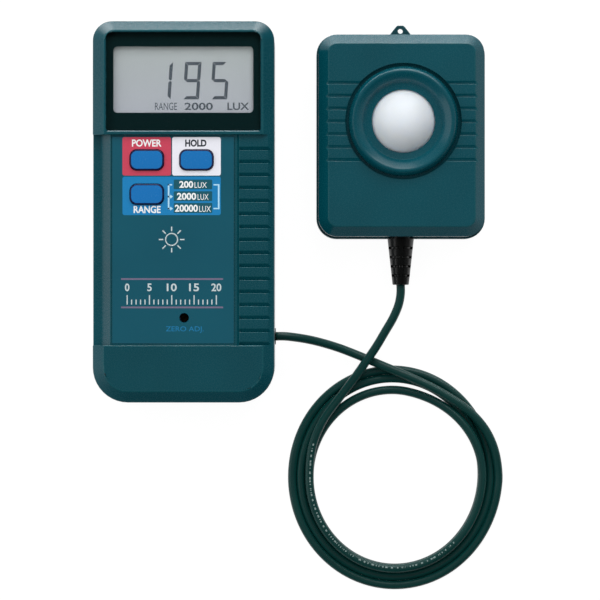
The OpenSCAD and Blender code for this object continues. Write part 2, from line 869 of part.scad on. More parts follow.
module battery_snap() {
    color("#141416") difference() {
        union() {
            span(-cell_w / 2 + snap_side, cell_w / 2 - snap_side, snap_y0, snap_y1, cell_z0 + snap_edge,
                cell_z0 + cell_t - snap_edge);
            translate([-terminal_x, snap_y0 - collar_l, cell_z0 + cell_t / 2]) rotate([-90, 0, 0])
                cylinder(r = stud_r + collar_t, h = collar_l + snap_t / 2);
        }
        translate([-terminal_x, snap_y0 - terminal_h, cell_z0 + cell_t / 2]) rotate([-90, 0, 0])
            cylinder(r = stud_r + loose, h = terminal_h);
    }
}

module red_lead() {
    color("#b3202a") wire([-lead_x, snap_y1, cell_z0 + cell_t / 2], [0, 1, 0], lead_run, board_z0, lead_r);
}

module black_lead() {
    color("#1a1a1a") wire([lead_x, snap_y1, cell_z0 + cell_t / 2], [0, 1, 0], lead_run, board_z0, lead_r);
}

module battery_pad() {
    color("#3c3c3c")
        span(-pad_w / 2, pad_w / 2, cell_y0 + pad_end, cell_y1 - pad_end, cell_z0 + cell_t, bay_z1);
}

module cord_grommet() {
    color("#101414") {
        translate([cord_x0, exit_y, exit_z]) rotate([0, -90, 0])
            cylinder(r = grommet_r, h = cord_x0 - tail_x1);
        translate([exit_x, exit_y, exit_z]) rotate([0, -90, 0])
            cylinder(r = grommet_flange, h = grommet_in);
    }
}

module cord_tail() {
    color("#0a2323") translate([tail_x1, exit_y, exit_z]) rotate([0, -90, 0])
        cylinder(r = cord_d / 2, h = tail_l);
}

module signal_leads() {
    color("#c8c8c0") for (s = [-1, 1])
        wire([tail_x1 - tail_l, exit_y + wire_gap * s, exit_z], [-1, 0, 0], wire_run, board_z0, wire_r);
}

module sensor_front_case() {
    color("#0b4a52") difference() {
        union() {
            difference() {
                hull() {
                    head_slab(head_rim, head_split, head_d - head_edge);
                    head_slab(head_rim + head_edge, head_d - eps, head_d);
                }
                hull() {
                    head_slab(head_rim + head_wall, head_split - 1, head_ceil - head_cave);
                    head_slab(head_rim + head_wall + head_cave, head_ceil - eps, head_ceil);
                }
            }
            translate([head_x, head_y, 0]) {
                for (p = head_holes) pin(p, head_post_r, head_split, head_ceil + post_root);
                for (p = chip_posts) pin(p, chip_post_r, chip_board_z1, head_ceil + post_root);
            }
        }
        translate([head_x, head_y, 0]) {
            for (i = [0 : groove_n - 1]) along_x(-head_w, head_w)
                vee(ring_y + (i - (groove_n - 1) / 2) * groove_pitch, groove_v, groove_deep, head_d,
                    groove_lean);
            pin(ring_p, ring_r + ring_gap, ring_z0, head_d + 1);
            pin(ring_p, seat_r, seat_z, ring_z0 + 1);
            pin(ring_p, dome_r + seat_hole, head_ceil - 1, seat_z + 1);
            for (p = head_holes) pin(p, screw_hole_r, head_split - 1, head_split + head_screw_in + tip_room);
            for (p = chip_posts)
                pin(p, board_hole_r, chip_board_z1 - 1, chip_board_z1 + chip_screw_in + tip_room);
        }
        boot_hole();
    }
}

module boot_hole() {
    translate([head_x, head_y0 - 1, boot_z]) rotate([-90, 0, 0])
        cylinder(r = boot_neck + loose, h = head_rim + head_wall + 2);
}

module sensor_rear_case() {
    color("#0a4048") difference() {
        union() {
            difference() {
                hull() {
                    head_slab(head_back, 0, eps);
                    head_slab(0, head_back, head_split);
                }
                head_slab(head_rim + head_wall, head_floor, head_split + 1);
            }
            translate([head_x, head_y, 0]) {
                for (p = head_holes) pin(p, head_post_r, head_floor / 2, head_split);
                translate([0, head_l / 2, tab_z]) linear_extrude(tab_t) polygon([
                    [-tab_w / 2, -head_wall / 2], [tab_w / 2, -head_wall / 2], [tab_w / 2, 0],
                    [tab_tip + tab_nose, tab_l - tab_nose], [tab_tip, tab_l], [-tab_tip, tab_l],
                    [-tab_tip - tab_nose, tab_l - tab_nose], [-tab_w / 2, 0]]);
            }
        }
        translate([head_x, head_y, 0]) {
            pin([0, eye_y], eye_r, tab_z - 1, tab_z + tab_t + 1);
            for (p = head_holes) {
                pin(p, head_hole_r, -1, head_seat);
                pin(p, screw_hole_r, head_seat - 1, head_split + 1);
            }
        }
        boot_hole();
    }
}

module sensor_screws() {
    color("#9aa0a3") translate([head_x, head_y, 0])
        for (p = head_holes)
            screw(p, screw_r, screw_head_r, screw_head_h, head_seat, head_split + head_screw_in);
}

module dome_ring() {
    under_z = dome_flange_z + ring_fit;
    crest_z = head_d + ring_up;
    crest_r = ring_r - ring_slope - ring_edge;
    color("#0c4e57") translate([head_x + ring_x, head_y + ring_y, 0]) rotate_extrude() polygon([
        [dome_hole, under_z], [seat_r, under_z], [seat_r, ring_z0], [ring_r + ring_flare, ring_z0],
        [ring_r, head_d + ring_foot], [ring_r - ring_slope, crest_z - ring_soft], [crest_r, crest_z],
        [crest_r - ring_crest, crest_z], [crest_r - ring_crest - ring_edge, crest_z - ring_soft],
        [dish_r, head_d + dish_up], [dish_r - ring_flare, under_z + dish_t], [dome_hole, under_z + dish_t]]);
}

module diffuser_dome() {
    color("#f0f2f6") translate([head_x + ring_x, head_y + ring_y, 0]) difference() {
        union() {
            pin([0, 0], flange_r, seat_z, dome_flange_z);
            pin([0, 0], dome_r, seat_z, dome_z);
            intersection() {
                translate([0, 0, dome_c]) sphere(r = dome_ball);
                pin([0, 0], dome_r + 2, dome_z, dome_z + dome_up + 2);
            }
        }
        translate([0, 0, dome_c]) sphere(r = dome_ball - dome_wall);
        pin([0, 0], dome_bore, seat_z - 1, dome_z);
    }
}

module light_filter() {
    color("#6fae8e")
        translate([head_x + ring_x, head_y + ring_y, chip_board_z1 + diode_t + filter_t / 2])
        cube([filter_w, filter_w, filter_t], center = true);
}

module photodiode() {
    color("#1c1c20") translate([head_x + ring_x, head_y + ring_y, chip_board_z1 + diode_t / 2])
        cube([diode_w, diode_w, diode_t], center = true);
}

module sensor_board() {
    color("#1f6b3a") translate([head_x, head_y, 0]) difference() {
        span(ring_x - chip_board_w / 2, ring_x + chip_board_w / 2, ring_y - chip_board_l / 2,
            ring_y + chip_board_l / 2, chip_board_z0, chip_board_z1);
        for (p = chip_posts) pin(p, board_hole_r, chip_board_z0 - 1, chip_board_z1 + 1);
    }
}

module sensor_board_screws() {
    color("#b9bcbe") translate([head_x, head_y, 0])
        for (p = chip_posts)
            screw(p, board_screw_r, board_head_r, board_head_h, chip_board_z0, chip_board_z1 + chip_screw_in);
}

module sensor_leads() {
    run = head_y + ring_y - chip_board_l / 2 + head_lead_in - boot_in_y;
    color("#c8c8c0") for (s = [-1, 1])
        wire([head_x + head_lead_x * s, boot_in_y, boot_z], [0, 1, 0], run, chip_board_z0, wire_r);
}

module strain_relief() {
    step = boot_l / boot_rings;
    color("#0a0c0c") translate([head_x, boot_in_y, boot_z]) rotate([90, 0, 0]) difference() {
        rotate_extrude() polygon([[0, 0], [boot_flange, 0], [boot_flange, boot_flange_t],
            [boot_neck, boot_flange_t], [boot_neck, boot_root], [boot_r, boot_root],
            [boot_tip, boot_root + boot_l], [0, boot_root + boot_l]]);
        for (i = [1 : boot_rings - 1]) translate([0, 0, boot_root + i * step - boot_slot / 2])
            difference() {
                cylinder(r = boot_r + 1, h = boot_slot);
                translate([0, 0, -1]) cylinder(r = boot_core(i * step), h = boot_slot + 2);
                for (a = [0, 90]) rotate([0, 0, a]) translate([-boot_r - 2, -boot_spine / 2, -1])
                    cube([2 * boot_r + 4, boot_spine, boot_slot + 2]);
            }
    }
}

module cord_from_meter() {
    color("#0a2323") tube(out_pts, 8, [1, 0, 0], [0, -1, 0]);
}

module cord_coil() {
    color("#0a2323") tube(coil_pts, 6, [0, -1, 0], [0, 1, 0]);
}

module cord_to_sensor() {
    color("#0a2323") tube(in_pts, 8, [0, 1, 0], [0, 1, 0]);
}

front_case();
rear_case();
battery_cover();
case_screws();
window_lens();
display_mask();
lcd_panel();
display_holder();
contact_strips();
main_board();
board_screws();
legend_plate();
power_field();
hold_field();
range_field();
power_button();
hold_button();
range_button();
power_plunger();
hold_plunger();
range_plunger();
key_switches();
trimmer_body();
trimmer_rotor();
meter_chip();
board_capacitors();
battery();
battery_snap();
red_lead();
black_lead();
battery_pad();
cord_grommet();
cord_tail();
signal_leads();
sensor_front_case();
sensor_rear_case();
sensor_screws();
dome_ring();
diffuser_dome();
light_filter();
photodiode();
sensor_board();
sensor_board_screws();
sensor_leads();
strain_relief();
cord_from_meter();
cord_coil();
cord_to_sensor();
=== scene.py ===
from functools import partial
from math import acos, asin, atan2, cos, hypot, pi, radians, sin, sqrt, tan

import bmesh
import bpy
from mathutils import Matrix, Vector


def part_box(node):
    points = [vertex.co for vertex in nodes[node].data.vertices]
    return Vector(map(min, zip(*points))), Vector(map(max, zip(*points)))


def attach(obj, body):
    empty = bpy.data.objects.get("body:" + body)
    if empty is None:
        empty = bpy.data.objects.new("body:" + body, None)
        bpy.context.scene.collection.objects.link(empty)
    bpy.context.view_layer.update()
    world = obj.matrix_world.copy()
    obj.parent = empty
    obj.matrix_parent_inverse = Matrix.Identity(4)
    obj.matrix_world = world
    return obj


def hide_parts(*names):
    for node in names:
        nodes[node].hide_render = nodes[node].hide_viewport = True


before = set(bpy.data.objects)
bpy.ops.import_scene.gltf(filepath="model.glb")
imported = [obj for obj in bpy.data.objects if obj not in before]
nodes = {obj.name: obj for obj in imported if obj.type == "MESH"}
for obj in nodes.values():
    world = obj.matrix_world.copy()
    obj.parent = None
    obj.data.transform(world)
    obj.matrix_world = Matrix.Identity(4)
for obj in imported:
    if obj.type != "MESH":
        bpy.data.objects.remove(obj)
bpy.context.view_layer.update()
scene = bpy.context.scene
mm = 0.001


def hexColor(code):
    parts = [int(code[i:i + 2], 16) / 255 for i in (1, 3, 5)]
    return tuple(c / 12.92 if c <= 0.04045 else ((c + 0.055) / 1.055) ** 2.4 for c in parts) + (1,)


# an input gets a value, a colour code, a socket, or a node, which stands for its first open output
def feed(node, inputs):
    for socket, value in inputs.items():
        if isinstance(value, bpy.types.Node):
            value = next(output for output in value.outputs if output.enabled)
        if isinstance(value, bpy.types.NodeSocket):
            node.id_data.links.new(value, node.inputs[socket])
        else:
            node.inputs[socket].default_value = hexColor(value) if isinstance(value, str) else value
    return node


def settle(thing, **settings):
    for key, value in settings.items():
        setattr(thing, key, value)
    return thing


def addNode(tree, kind, inputs=None, **settings):
    node = tree.nodes.new(kind if "Node" in kind else "ShaderNode" + kind)
    return feed(settle(node, **settings), inputs or {})


def newMaterial(name, sockets):
    material = bpy.data.materials.new(name)
    material.use_nodes = True
    return material, feed(material.node_tree.nodes["Principled BSDF"], sockets)


# noise of a real size in mm, that moves tones, roughness (from, to) and relief (strength, depth in mm)
def mottle(shader, size, detail, tones=None, gloss=None, relief=None):
    add = partial(addNode, shader.id_data)
    place = add("TexCoord").outputs["Object"]
    noise = add("TexNoise", {"Vector": place, "Scale": 1 / (size * mm), "Detail": detail})
    if tones:
        mix = {"Factor": noise, "A": tones[0], "B": tones[1]}
        feed(shader, {"Base Color": add("Mix", mix, data_type="RGBA")})
    if gloss:
        spread = {"Value": noise, "To Min": gloss[0], "To Max": gloss[1]}
        feed(shader, {"Roughness": add("MapRange", spread)})
    if relief:
        bump = {"Height": noise, "Strength": relief[0], "Distance": relief[1] * mm}
        feed(shader, {"Normal": add("Bump", bump)})
    return noise


def meshFrom(name, bm, sharpFrom=None):
    mesh = bpy.data.meshes.new(name)
    if sharpFrom:  # a closed skin: faces outwards, edges sharp from this angle in degrees
        bmesh.ops.recalc_face_normals(bm, faces=bm.faces)
    bm.to_mesh(mesh)
    bm.free()
    if sharpFrom:
        mesh.set_sharp_from_angle(angle=radians(sharpFrom))
    return mesh


def addObject(name, mesh, *materials):
    piece = bpy.data.objects.new(name, mesh)
    mesh.materials.clear()
    for material in materials:
        mesh.materials.append(material)
    scene.collection.objects.link(piece)
    return piece


def keepPiece(piece, body, slot, *stoodFor):
    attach(piece, body)
    if stoodFor:
        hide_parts(*stoodFor)


# the plain mesh of a holder, which has no more use then
def takeMesh(holder):
    scene.collection.objects.link(holder)
    bpy.context.view_layer.update()
    mesh = bpy.data.meshes.new_from_object(holder.evaluated_get(bpy.context.evaluated_depsgraph_get()))
    bpy.data.objects.remove(holder)
    return mesh


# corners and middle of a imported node, in mm
def boxOf(node):
    low, high = ([c / mm for c in corner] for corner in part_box(node))
    return low, high, [(a + b) / 2 for a, b in zip(low, high)]


def roundAngles(count):
    return [2 * pi * k / count for k in range(count)]


def smoothRamp(u):
    v = max(0, min(1, u))
    return v * v * (3 - 2 * v)


# camera straight above the table, as in the photograph
cameraPlan = {"place": (0.04487, -0.03396, 1.1), "optics": {"lens": 166.25, "sensor_width": 36}}
camera = bpy.data.objects.new("camera", settle(bpy.data.cameras.new("camera"), **cameraPlan["optics"]))
camera.location = cameraPlan["place"]
scene.collection.objects.link(camera)
scene.camera = camera
scene.view_settings.view_transform = "Standard"
print("camera set")

# one cord of about a metre: meter, loose coil of three and a half turns, sensor
# ramps are in turns of the coil: where each starts and how long it runs
cordPlan = {
    "diameter": 3.4, "sides": 20, "step": 0.9,
    "coilMiddle": (81.9, -103.4), "coilRadius": 41.8, "tall": 2.55, "turns": 3.5, "perTurn": 48,
    "dip": 1.2, "stackUp": 3.42, "lowZ": 1.75, "startLift": 1.3, "tuck": 0.3,
    "ramps": {"climb": (2.78, 0.22), "dip": (2.5, 0.25), "stack": (2.75, 0.2), "start": (0, 0.09),
              "tuck": (0, 0.2)},
    "fromMeter": [
        (35.4, -48.2, 12), (38.8, -48.2, 12), (44, -48.8, 10.6), (49, -49.7, 8.4), (54.5, -51.1, 6),
        (60.5, -53, 4.2), (67, -55.5, 3.3), (73, -58, 3.9), (78.5, -60.3, 5.2), (84.5, -62.8, 5.7),
        (91, -65.6, 5.7), (98, -69, 5.7), (104, -72.5, 5.7), (109, -75.8, 5.7), (114.2, -80.3, 5.6),
        (118.8, -86.3, 5.2), (122, -94, 4.4)],
    "toSensor": [
        (49, -96.4, 5.6), (50, -90.9, 5.7), (52, -85.4, 5.7), (55, -79.8, 5.7), (59, -74.4, 5.8),
        (63.2, -68.9, 6.1), (67.4, -63.3, 6.9), (71.2, -57.8, 7.7), (75, -52.2, 8.3), (78.3, -46.6, 8.7),
        (81.5, -41.1, 8.9), (83.7, -35.8, 9), (84.5, -31.4, 9), (84.5, -28.0, 9)],
}


def coilPoint(t, plan):
    # inwards on the floor, then up and back over its own turns
    climb, dip, stack, start, tuck = (smoothRamp((t - at) / run) for at, run in plan["ramps"].values())
    r = plan["coilRadius"] - plan["diameter"] * (t - climb)
    r -= plan["dip"] * dip * (1 - climb) + plan["tuck"] * (1 - tuck)
    x, y = plan["coilMiddle"]
    a = 2 * pi * t
    z = plan["lowZ"] + plan["startLift"] * (1 - start) + plan["stackUp"] * stack
    return (x + r * cos(a), y - (r + plan["tall"]) * sin(a), z)


def between(p, q, t, start, end):
    return p * ((end - t) / (end - start)) + q * ((t - start) / (end - start))


def curveThrough(points, step):
    # Catmull-Rom with chord-length knots, sampled about every step
    p = [Vector(q) for q in points]
    p = [2 * p[0] - p[1]] + p + [2 * p[-1] - p[-2]]
    out = []
    for a, b, c, d in zip(p, p[1:], p[2:], p[3:]):
        knots = [0.0]
        for start, end in ((a, b), (b, c), (c, d)):
            knots.append(knots[-1] + sqrt((end - start).length))
        t0, t1, t2, t3 = knots
        count = max(1, round((c - b).length / step))
        for k in range(count):
            t = t1 + (t2 - t1) * k / count
            straight = between(b, c, t, t1, t2)
            before = between(between(a, b, t, t0, t1), straight, t, t0, t2)
            after = between(straight, between(c, d, t, t2, t3), t, t1, t3)
            out.append(between(before, after, t, t1, t2))
    out.append(p[-2])
    return out


def cordMesh(name, path, plan):
    # a tube with its length along U, in metres, and its way round along V
    n, r = plan["sides"], plan["diameter"] / 2
    bm = bmesh.new()
    uvLayer = bm.loops.layers.uv.new("along")
    rings, run = [], [0.0]
    for i, p in enumerate(path):
        along = (path[min(i + 1, len(path) - 1)] - path[max(i - 1, 0)]).normalized()
        side = Vector((0, 0, 1)).cross(along).normalized()
        up = along.cross(side)
        if i:
            run.append(run[-1] + (p - path[i - 1]).length)
        rings.append([bm.verts.new((p + r * (cos(a) * side + sin(a) * up)) * mm)
                      for a in roundAngles(n)])
    for i in range(len(rings) - 1):
        for k in range(n):
            j = (k + 1) % n
            face = bm.faces.new((rings[i][k], rings[i + 1][k], rings[i + 1][j], rings[i][j]))
            face.smooth = True
            for loop, (u, v) in zip(face.loops, ((i, k), (i + 1, k), (i + 1, k + 1), (i, k + 1))):
                loop[uvLayer].uv = (run[u] * mm, v / n)
    bm.faces.new(rings[0])
    bm.faces.new(reversed(rings[-1]))
    bmesh.ops.recalc_face_normals(bm, faces=bm.faces)
    return meshFrom(name, bm), run[-1]


# flexible PVC, extruded: dark green black with a soft gloss and faint drawing marks along its length
pvc, shader = newMaterial("extrudedPvcCord", {"Roughness": 0.38, "IOR": 1.36})
add = partial(addNode, shader.id_data)
place = add("TexCoord").outputs["UV"]
split = add("SeparateXYZ", {0: place}).outputs
# marks about 20 mm long and 0.6 mm wide, stretched by the die
stretch = add("Mapping", {"Vector": place, "Scale": (50, 18, 1)})
marks = add("TexNoise", {"Vector": stretch, "Scale": 1, "Detail": 3})
tone = add("ValToRGB", {"Fac": marks})
for stop, shade in zip(tone.color_ramp.elements, ("#002a29", "#07433f")):
    stop.color = hexColor(shade)
# a broken row of short pale dashes, one to three millimetres each, that winds slowly round part of the cord
# metres along the cord for at, reach and perMetre, turns round it for swing, middle and half
dashPlan = {"wind": 10.8, "windStart": -1.061, "swing": 0.06, "middle": 0.25, "half": 0.028, "at": 0.907,
            "reach": 0.048, "perMetre": 900, "inkFrom": 0.52, "ink": "#7d918e"}
wind = add("Math", {0: split["X"], 1: dashPlan["wind"], 2: dashPlan["windStart"]}, operation="MULTIPLY_ADD")
swing = add("Math", {0: wind}, operation="SINE")
middle = add("Math", {0: swing, 1: dashPlan["swing"], 2: dashPlan["middle"]}, operation="MULTIPLY_ADD")
away = add("Math", {0: split["Y"], 1: middle}, operation="SUBTRACT")
turned = add("Math", {0: away, 1: 0.5, 2: -0.5}, operation="WRAP")
inRow = add("Math", {0: turned, 1: 0.0, 2: dashPlan["half"]}, operation="COMPARE")
inReach = add("Math", {0: split["X"], 1: dashPlan["at"], 2: dashPlan["reach"]}, operation="COMPARE")
dashAt = add("Mapping", {"Vector": place, "Scale": (dashPlan["perMetre"], 0, 0)})
dashes = add("TexNoise", {"Vector": dashAt, "Scale": 1, "Detail": 1})
inked = add("Math", {0: dashes, 1: dashPlan["inkFrom"]}, operation="GREATER_THAN")
for isThere in (inRow, inReach):
    inked = add("Math", {0: inked, 1: isThere}, operation="MULTIPLY")
feed(shader, {
    "Base Color": add("Mix", {"Factor": inked, "A": tone, "B": dashPlan["ink"]}, data_type="RGBA"),
    "Normal": add("Bump", {"Height": marks, "Strength": 0.25, "Distance": 0.05 * mm})})

coilCount = round(cordPlan["turns"] * cordPlan["perTurn"])
coil = [coilPoint(i / cordPlan["perTurn"], cordPlan) for i in range(coilCount + 1)]
cordPath = curveThrough(cordPlan["fromMeter"] + coil + cordPlan["toSensor"], cordPlan["step"])
cordTube, cordLength = cordMesh("sensor_cord", cordPath, cordPlan)
cord = addObject("sensor_cord", cordTube, pvc)
keepPiece(cord, "meter", "cord_jacket", "cord_from_meter", "cord_coil", "cord_to_sensor")
print("cord made, mm:", round(cordLength, 1))


# moulded plastics share a recipe: a slow drift of colour, a sparked mould's fine grain and uneven gloss
def moulded(name, shade, paler, roughness, grain, depth=0.02, ior=1.4):
    material, shader = newMaterial(name, {"IOR": ior})
    mottle(shader, 26, 2, tones=(shade, paler))  # the drift, over 26 mm
    mottle(shader, grain, 3, gloss=(roughness - 0.05, roughness + 0.05), relief=(0.3, depth))
    return material


# printed inks: flat colour with the faint mottle of a screen
def screenInk(name, shade, paler, roughness):
    material, shader = newMaterial(name, {"Roughness": roughness, "IOR": 1.4})
    mottle(shader, 0.9, 4, tones=(shade, paler), relief=(0.15, 0.01))
    return material


# bare metals: an uneven tone and gloss, as from handling, in spots of 0.4 mm
def plainMetal(name, shade, paler, roughness):
    material, shader = newMaterial(name, {"Metallic": 1})
    mottle(shader, 0.4, 5, tones=(shade, paler), gloss=(roughness - 0.1, roughness + 0.1))
    return material


# ABS from a spark-eroded mould, grain 0.3 mm: a satin that goes grey where it faces the light
absTeal = moulded("mouldedAbsTeal", "#00424c", "#004c58", 0.27, 0.34, 0.009)
absRear = moulded("mouldedAbsTealRear", "#003a43", "#00464f", 0.36, 0.34)
absSensor = moulded("mouldedAbsSensor", "#004550", "#004f5b", 0.27, 0.34, 0.009)
# the same ABS on the soft edges: a touch paler, partly as wear where hands rub them and partly as a painted
# highlight along each edge
absEdgeWearAndHighlight = moulded("rubbedAbsEdgeAndPaintedHighlight", "#0a4a53", "#12545d", 0.27, 0.5, 0.008)
# polycarbonate film, printed on its back: a little bluer than the case round it
filmTeal = moulded("polycarbonateFilmTeal", "#005062", "#00586a", 0.3, 0.5, 0.008)
# ABS again, dyed blue through the caps; the dark navy on their rims is painted shade, standing for the shadow
# in the gap round each cap
keyPlastic = moulded("mouldedAbsKeyBlue", "#006cb2", "#0074be", 0.26, 0.4, 0.01)
keyRimPaintedShade = moulded("mouldedAbsKeyRimPaintedShade", "#041244", "#06184e", 0.4, 0.4, 0.01)
# rubber with carbon black: nearly black, and grey where light skims it
bootRubber = moulded("mouldedRubberBlack", "#030404", "#060808", 0.34, 0.6, 0.01, 1.45)
# nylon, silicone, epoxy and thermoset of the parts inside: plain and satin
nylonWhite = moulded("nylonWhite", "#cfcfc8", "#dcdcd6", 0.5, 0.5)
contactRubber = moulded("layeredSilicone", "#2c2c31", "#3c3c42", 0.6, 0.25)
nylonBlack = moulded("nylonBlack", "#141416", "#1d1d20", 0.45, 0.4)
epoxyBlack = moulded("mouldedEpoxyBlack", "#141416", "#1c1c1f", 0.55, 0.3, 0.03)
trimmerBlue = moulded("mouldedThermosetBlue", "#28559a", "#3365b2", 0.45, 0.3)
# PVC sleeves of the capacitors and the wires
sleeveBlue = moulded("shrinkSleeveNavy", "#1d2a42", "#273656", 0.35, 0.8)
wireRed = moulded("pvcWireRed", "#a51c26", "#bd2630", 0.4, 0.6)
wireBlack = moulded("pvcWireBlack", "#151515", "#1f1f1f", 0.4, 0.6)
wireGrey = moulded("pvcWireGrey", "#bcbcb4", "#cfcfc8", 0.4, 0.6)
# open foam: dull, with deep pores
foamGrey = moulded("foamPadGrey", "#303030", "#444444", 0.9, 0.7, 0.2)
# glass fibre board under solder mask: the weave, about half a millimetre, shows faintly through the green
boardGreen = moulded("solderMaskGreen", "#0c4a2c", "#136238", 0.35, 0.5)
# coloured optical glass: a polished green block
filterGlass = moulded("opticalGlassGreen", "#4f8f6a", "#5d9c78", 0.12, 2.0, 0.002)
zincSteel = plainMetal("zincPlatedSteel", "#b4b8bc", "#cfd2d4", 0.32)
blackBrass = plainMetal("blackenedBrass", "#1a1710", "#2a251a", 0.45)

inkPlan = {
    "Red": ("#c63b54", "#ce435c", 0.3), "White": ("#e6e7f0", "#eeeef6", 0.3),
    "Blue": ("#007ab4", "#0082c0", 0.3), "LabelWhite": ("#eceff0", "#f6f7f7", 0.45),
    "Dark": ("#1c2430", "#28323e", 0.45), "Bar": ("#005464", "#005e6e", 0.4),
    "Cyan": ("#a8daf2", "#b8e2f6", 0.42), "ZeroBlue": ("#0074a6", "#007eb2", 0.45),
    "Mauve": ("#6d6480", "#786e88", 0.45), "Scale": ("#bccacd", "#cad6d8", 0.45),
}
inks = {name: screenInk("screenInk" + name, *tones) for name, tones in inkPlan.items()}
maskPaint = screenInk("maskPaintDark", "#022628", "#032e30", 0.35)
lcdInk = screenInk("liquidCrystalDark", "#2a343d", "#343f49", 0.4)
print("materials made")

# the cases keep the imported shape, with soft edges as from a polished mould; angles in degrees
softPlan = {"weld": 0.02, "tiny": 0.001, "flat": 1, "crease": 24, "segments": 3, "wideFaces": 50}


def softShell(name, node, width, isOuter, outline, material, reshape):
    bm = bmesh.new()
    bm.from_mesh(nodes[node].data)
    bmesh.ops.remove_doubles(bm, verts=bm.verts, dist=softPlan["weld"] * mm)
    bmesh.ops.dissolve_degenerate(bm, dist=softPlan["tiny"] * mm, edges=bm.edges)
    bmesh.ops.dissolve_limit(bm, angle_limit=radians(softPlan["flat"]), verts=bm.verts, edges=bm.edges)
    if reshape:
        reshape(bm)
    weights = bm.edges.layers.float.new("bevel_weight_edge")
    for face in bm.faces:
        face.smooth = True
    for edge in bm.edges:
        if len(edge.link_faces) != 2 or edge.calc_face_angle(0) < radians(softPlan["crease"]):
            continue
        middle = (edge.verts[0].co + edge.verts[1].co) / 2 / mm
        lean = min(face.normal.z for face in edge.link_faces)
        share = isOuter(middle, lean, outline) if edge.is_convex else 0
        edge[weights] = share
        edge.smooth = share > 0
    # the bevel faces take the second material: paler for wear and as a painted highlight along the edges
    piece = addObject(name, meshFrom(name, bm), material, absEdgeWearAndHighlight)
    settle(piece.modifiers.new("softEdges", "BEVEL"), limit_method="WEIGHT", width=width * mm,
           segments=softPlan["segments"], material=1, use_clamp_overlap=False, miter_outer="MITER_ARC")
    settle(piece.modifiers.new("cuts", "TRIANGULATE"), quad_method="BEAUTY", ngon_method="BEAUTY")
    # wide faces keep a straight gloss
    settle(piece.modifiers.new("flatFaces", "WEIGHTED_NORMAL"), weight=softPlan["wideFaces"], keep_sharp=True)
    return piece


# the rim below the window leans towards the glass, and catches the light as a thin line
sillPlan = {"topZ": 36, "startY": 30.72, "edgeY": 31.12, "reachX": 30, "drop": 0.31, "flatDeep": 0.01,
            "rimDeep": 0.4}
# grooves: a long slope on the side away from the lamps, a short one facing them; ends run out on the chamfers
groovePlan = {"deeper": 0.3, "aside": 0.17, "caseZ": 33.7, "caseEnds": {21.56: 0, 33.41: 0.36},
              "sensorZ": 21.4, "sensorEnds": {55.35: -0.3, 113.65: 0.3}}
# the gap round the ring
domeMiddle = (85.15, 35.65)
gapPlan = {"floorZ": 20.5, "from": 22.4, "deeper": 1.4}
onFloor, atEnd = 0.02, 0.1  # how far off a corner counts as lying there


def facesAbove(bm, z):
    return [face for face in bm.faces if min(vert.co.z for vert in face.verts) > z * mm]


def leanSill(bm):
    top = facesAbove(bm, sillPlan["topZ"] - sillPlan["flatDeep"])
    parts = {part for face in top for part in (face, *face.verts, *face.edges)}
    bmesh.ops.bisect_plane(bm, geom=list(parts), plane_co=(0, sillPlan["startY"] * mm, 0),
                           plane_no=(0, 1, 0), dist=softPlan["tiny"] * mm)
    for vert in bm.verts:
        x, y, z = vert.co / mm
        onSill = sillPlan["startY"] + atEnd < y < sillPlan["edgeY"] and abs(x) < sillPlan["reachX"]
        if onSill and z > sillPlan["topZ"] - atEnd:
            vert.co.z -= sillPlan["drop"] * mm


def cutGrooves(bm, z, ends):
    for vert in bm.verts:
        x = vert.co.x / mm
        if abs(vert.co.z / mm - z) < onFloor and min(ends) - atEnd < x < max(ends) + atEnd:
            outward = sum(move for end, move in ends.items() if abs(x - end) < atEnd)
            vert.co += Vector((outward, -groovePlan["aside"], -groovePlan["deeper"])) * mm


def reshapeCase(bm):
    leanSill(bm)
    rim = facesAbove(bm, sillPlan["topZ"] - sillPlan["rimDeep"])
    bmesh.ops.triangulate(bm, faces=rim, quad_method="BEAUTY", ngon_method="BEAUTY")
    cutGrooves(bm, groovePlan["caseZ"], groovePlan["caseEnds"])


def reshapeSensor(bm):
    cutGrooves(bm, groovePlan["sensorZ"], groovePlan["sensorEnds"])
    for vert in bm.verts:
        x, y, z = vert.co / mm
        out = hypot(x - domeMiddle[0], y - domeMiddle[1])
        if abs(z - gapPlan["floorZ"]) < onFloor and out > gapPlan["from"]:
            vert.co.z -= gapPlan["deeper"] * mm


caseOutline = {"middle": (0, 0), "halfX": 35, "halfY": 73.5, "upper": 7.5, "lower": 13.6}
sensorOutline = {"middle": (84.5, 30.3), "halfX": 33.15, "halfY": 40.2, "upper": 8, "lower": 8}
# where edges count as outer ones, and the shares of the full width that some of them get
nearRim, slope, steep, backZ, coverZ, seamZ, blockZ, pocketTop = 0.5, 5, 0.3, 0.2, 1.2, 17.3, 35.2, 69.2
ledgeZ, ledgeX, sensorTopZ, ledgeShare, sideShare, grooveShare = 33.95, 32.3, 21.3, 0.35, 0.4, 0.3


def rimGap(point, outline):
    # how far a point lies inside the outline
    x, y = point[0] - outline["middle"][0], point[1] - outline["middle"][1]
    radius = outline["upper"] if y > 0 else outline["lower"]
    across, along = abs(x) - outline["halfX"] + radius, abs(y) - outline["halfY"] + radius
    if across > 0 and along > 0:
        return radius - hypot(across, along)
    return radius - max(across, along)


# how much of the soft edge each edge gets, from the place of its middle in mm and its steeper face
def frontOuter(middle, lean, outline):
    x, y, z = middle
    inPocket = abs(x) < sillPlan["reachX"] and sillPlan["startY"] - atEnd < y < pocketTop
    if inPocket and (lean < steep or y < sillPlan["edgeY"]):
        return 0
    if z > blockZ or z > seamZ and rimGap(middle, outline) < nearRim:
        return 1
    return ledgeShare if z > ledgeZ and x < ledgeX else 0


def backOuter(middle, lean, outline):
    return 1 if middle.z < backZ or rimGap(middle, outline) < nearRim else 0


def sensorOuter(middle, lean, outline):
    gap = rimGap(middle, outline)
    if gap < nearRim:
        return sideShare
    if middle.z < sensorTopZ:
        return 0
    return 1 if gap < slope else grooveShare


def coverOuter(middle, lean, outline):
    return 1 if middle.z < coverZ else 0


